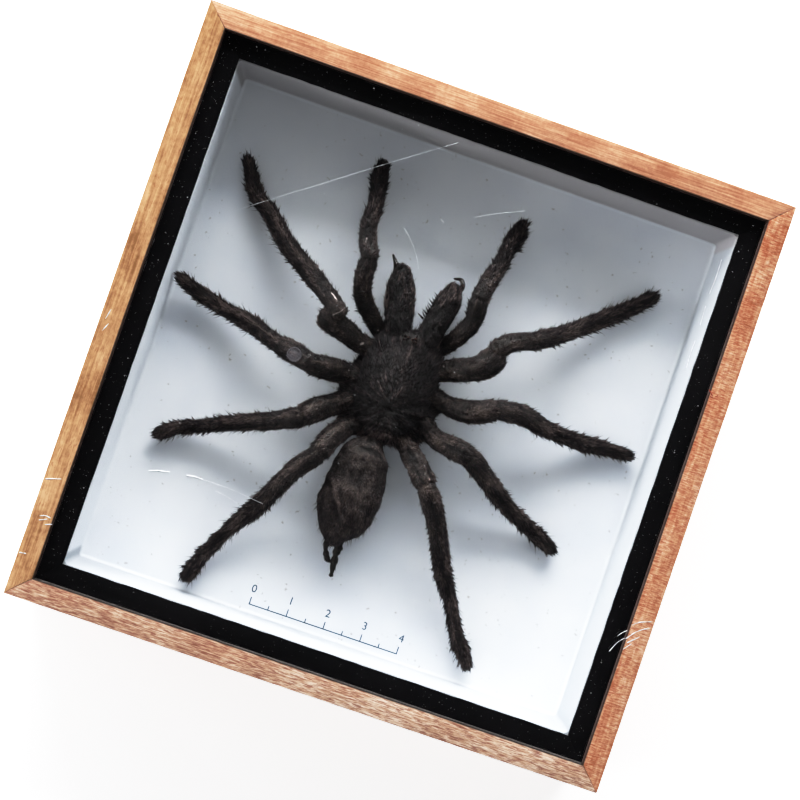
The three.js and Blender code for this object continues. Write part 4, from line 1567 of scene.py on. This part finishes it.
def drawnLines(name, lines, width, height, finish):
    # thin raised lines lying on a flat face at the given height
    parts = []
    for line in lines:
        run = smoothRun([(*point, height, width) for point in line], 0.8)
        draw = np.random.default_rng(len(parts) + 3)
        run[:, 3] *= draw.uniform(0.45, 1.15, len(run))
        tube = drawTube(name, roundedRun(run, 1.5, 1.5), 6, 0)
        places = pointsOf(tube)
        places[:, 2] = height + np.maximum(places[:, 2] - height, 0) * 0.5
        setPoints(tube, places)
        parts.append(tube)
    return keepPiece(joinedPiece(parts, name), name, finish, (), 180)


def makeMarks():
    white = paleFinish("scratchWhite", markPaint["scratch"], 0.5)
    glass = glassTop / mm
    for name, looks in scratchLooks.items():
        drawnLines(name + "Scratches", looks["lines"], looks["width"], glass, white)
    wood = railTop / mm
    drawnLines("railScratches", railMarks["lines"], railMarks["width"], wood - railMarks["sink"], white)
    rust = paleFinish("nickRed", markPaint["nick"], 0.6)
    drawnLines("railNicks", railMarks["nicks"], railMarks["nickWidth"], wood - railMarks["nickSink"], rust)


def makeDust():
    clearSelection()
    bpy.ops.mesh.primitive_ico_sphere_add(subdivisions=1, radius=1)
    flake = bpy.context.object
    draw = np.random.default_rng(17)
    places = pointsOf(flake)
    setPoints(flake, places * draw.uniform(0.6, 1.2, (len(places), 1)) * (1, 0.8, 0.4))
    count, edge = dustLooks["count"], dustLooks["edge"]
    spots = draw.uniform(-edge, edge, (count, 2))
    cluster = draw.normal(dustLooks["cluster"], dustLooks["spread"], (count // 3, 2))
    spots[:count // 3] = np.clip(cluster, -edge, edge)
    rim = slice(count // 3, count // 2)
    spots[rim, 0] = np.sign(spots[rim, 0]) * draw.uniform(dustLooks["rimFrom"], edge, len(spots[rim]))
    sizes = dustLooks["smallest"] + (dustLooks["largest"] - dustLooks["smallest"]) * draw.random(count) ** 3
    turns = draw.uniform(0, math.pi, count)
    axes = np.zeros((count, 3, 3))
    axes[:, 0, 0] = axes[:, 1, 1] = np.cos(turns)
    axes[:, 1, 0], axes[:, 0, 1] = np.sin(turns), -np.sin(turns)
    axes[:, 2, 2] = 1
    roots = np.column_stack([spots, glassTop / mm + sizes * 0.2])
    dust = strewn("dust", flake, roots, axes * sizes[:, None, None])
    bpy.data.objects.remove(flake)
    keepPiece(dust, "dust", paleFinish("dustGrey", markPaint["dust"], 0.8))


def makeRing():
    # a dried drop on the glass: a rough rim round a thin clouded skin
    place = (*[value * mm for value in ringLooks["middle"]], glassTop)
    clearSelection()
    bpy.ops.mesh.primitive_torus_add(major_segments=40, minor_segments=8, location=place,
                                     major_radius=ringLooks["radius"] * mm,
                                     minor_radius=ringLooks["thickness"] * mm)
    ring = bpy.context.object
    bpy.ops.mesh.primitive_cylinder_add(vertices=40, radius=ringLooks["radius"] * mm,
                                        depth=ringLooks["skin"] * mm,
                                        location=(*place[:2], glassTop + ringLooks["skin"] / 2 * mm))
    cloud = bpy.context.object
    height = glassTop / mm
    for piece, name in ((ring, "dropRing"), (cloud, "dropSkin")):
        applyPlace(piece)
        places = pointsOf(piece)
        places[:, 2] = height + np.maximum(places[:, 2] - height, 0) * ringLooks["flat"]
        shift = np.stack([noiseAt(places * 0.9), noiseAt(places * 0.9 + 5)], 1)
        places[:, :2] += ringLooks["unevenness"] * shift
        setPoints(piece, places)
        finish = paleFinish(name + "Grey", ringLooks[name]["tint"], 0.65)
        feed(finish.node_tree.nodes["Principled BSDF"], {"Alpha": ringLooks[name]["alpha"]})
        keepPiece(piece, name, finish, (), 60)


scaleLooks = {
    "length": 40, "middle": 0.4, "foot": -62.6, "tick": (1.1, 1.9), "line": 0.26, "lift": 0.03,
    "digit": 2.9, "digitRise": 3.2,
}


def makeScale():
    # a plain printed scale in centimetres near the lower edge of the board
    ink = paleFinish("printedInk", markPaint["ink"], 0.6)
    left = scaleLooks["middle"] - scaleLooks["length"] / 2
    height = boardTop / mm
    foot, line, lift = scaleLooks["foot"], scaleLooks["line"], scaleLooks["lift"]
    boxes = [(scaleLooks["middle"], foot, scaleLooks["length"] + line, line)]
    for step in range(scaleLooks["length"] // 5 + 1):
        tall = scaleLooks["tick"][1 - step % 2]
        boxes.append((left + 5 * step, foot + tall / 2, line, tall))
    parts = []
    for x, y, wide, tall in boxes:
        centre = (x * mm, y * mm, (height + lift / 2) * mm)
        parts.append(modelBox(centre, (wide * mm, tall * mm, lift * mm)))
    for number in range(scaleLooks["length"] // 10 + 1):
        clearSelection()
        place = (left + 10 * number, foot + scaleLooks["digitRise"], height)
        bpy.ops.object.text_add(location=[value * mm for value in place])
        digit = bpy.context.object
        digit.data.body = str(number)
        digit.data.size = scaleLooks["digit"] * mm
        digit.data.align_x = "CENTER"
        digit.data.extrude = lift * mm
        bpy.ops.object.convert(target="MESH")
        applyPlace(bpy.context.object)
        parts.append(bpy.context.object)
    keepPiece(joinedPiece(parts, "printedScale"), "printedScale", ink)


floorLooks = {"size": 6.0, "tint": (245, 245, 246), "glow": 0.6}


def makeFloor():
    clearSelection()
    bpy.ops.mesh.primitive_plane_add(size=floorLooks["size"], location=(0, 0, railFoot - 0.02 * mm))
    floor = bpy.context.object
    floor.name = "floor"
    material, shader, place = startFinish("floorCard")
    soft = place.noise([0.01] * 3, detail=2)
    darker = [value - 3 for value in floorLooks["tint"]]
    shade = soft.between(0.3, 0.7).blend(tint(*floorLooks["tint"]), tint(*darker))
    feed(shader, {"Base Color": shade, "Roughness": 0.8, "Emission Color": tint(255, 255, 255),
                  "Emission Strength": floorLooks["glow"]})
    floor.data.materials.append(material)


setCamera()
setLights()
setWorld()
makeFloor()
print("stage: camera, lights and floor")
makeRails()
shareLights()
makeBorder()
makeTray()
dressFlatPieces()
print("case: rails, lining, border, board and glass")
makeNails()
makeHanger()
print("back: nails and hanger")
hairModel = modelHair(furLooks["hairRadius"])
bristleModel = modelHair(furLooks["bristleRadius"], furLooks["bristleCuts"], furLooks["bristleBend"])
makeSpider()
bpy.data.objects.remove(hairModel)
bpy.data.objects.remove(bristleModel)
print("spider: body, limbs and fur")
makeMarks()
makeDust()
makeRing()
makeScale()
print("marks: scratches, dust, ring and scale")
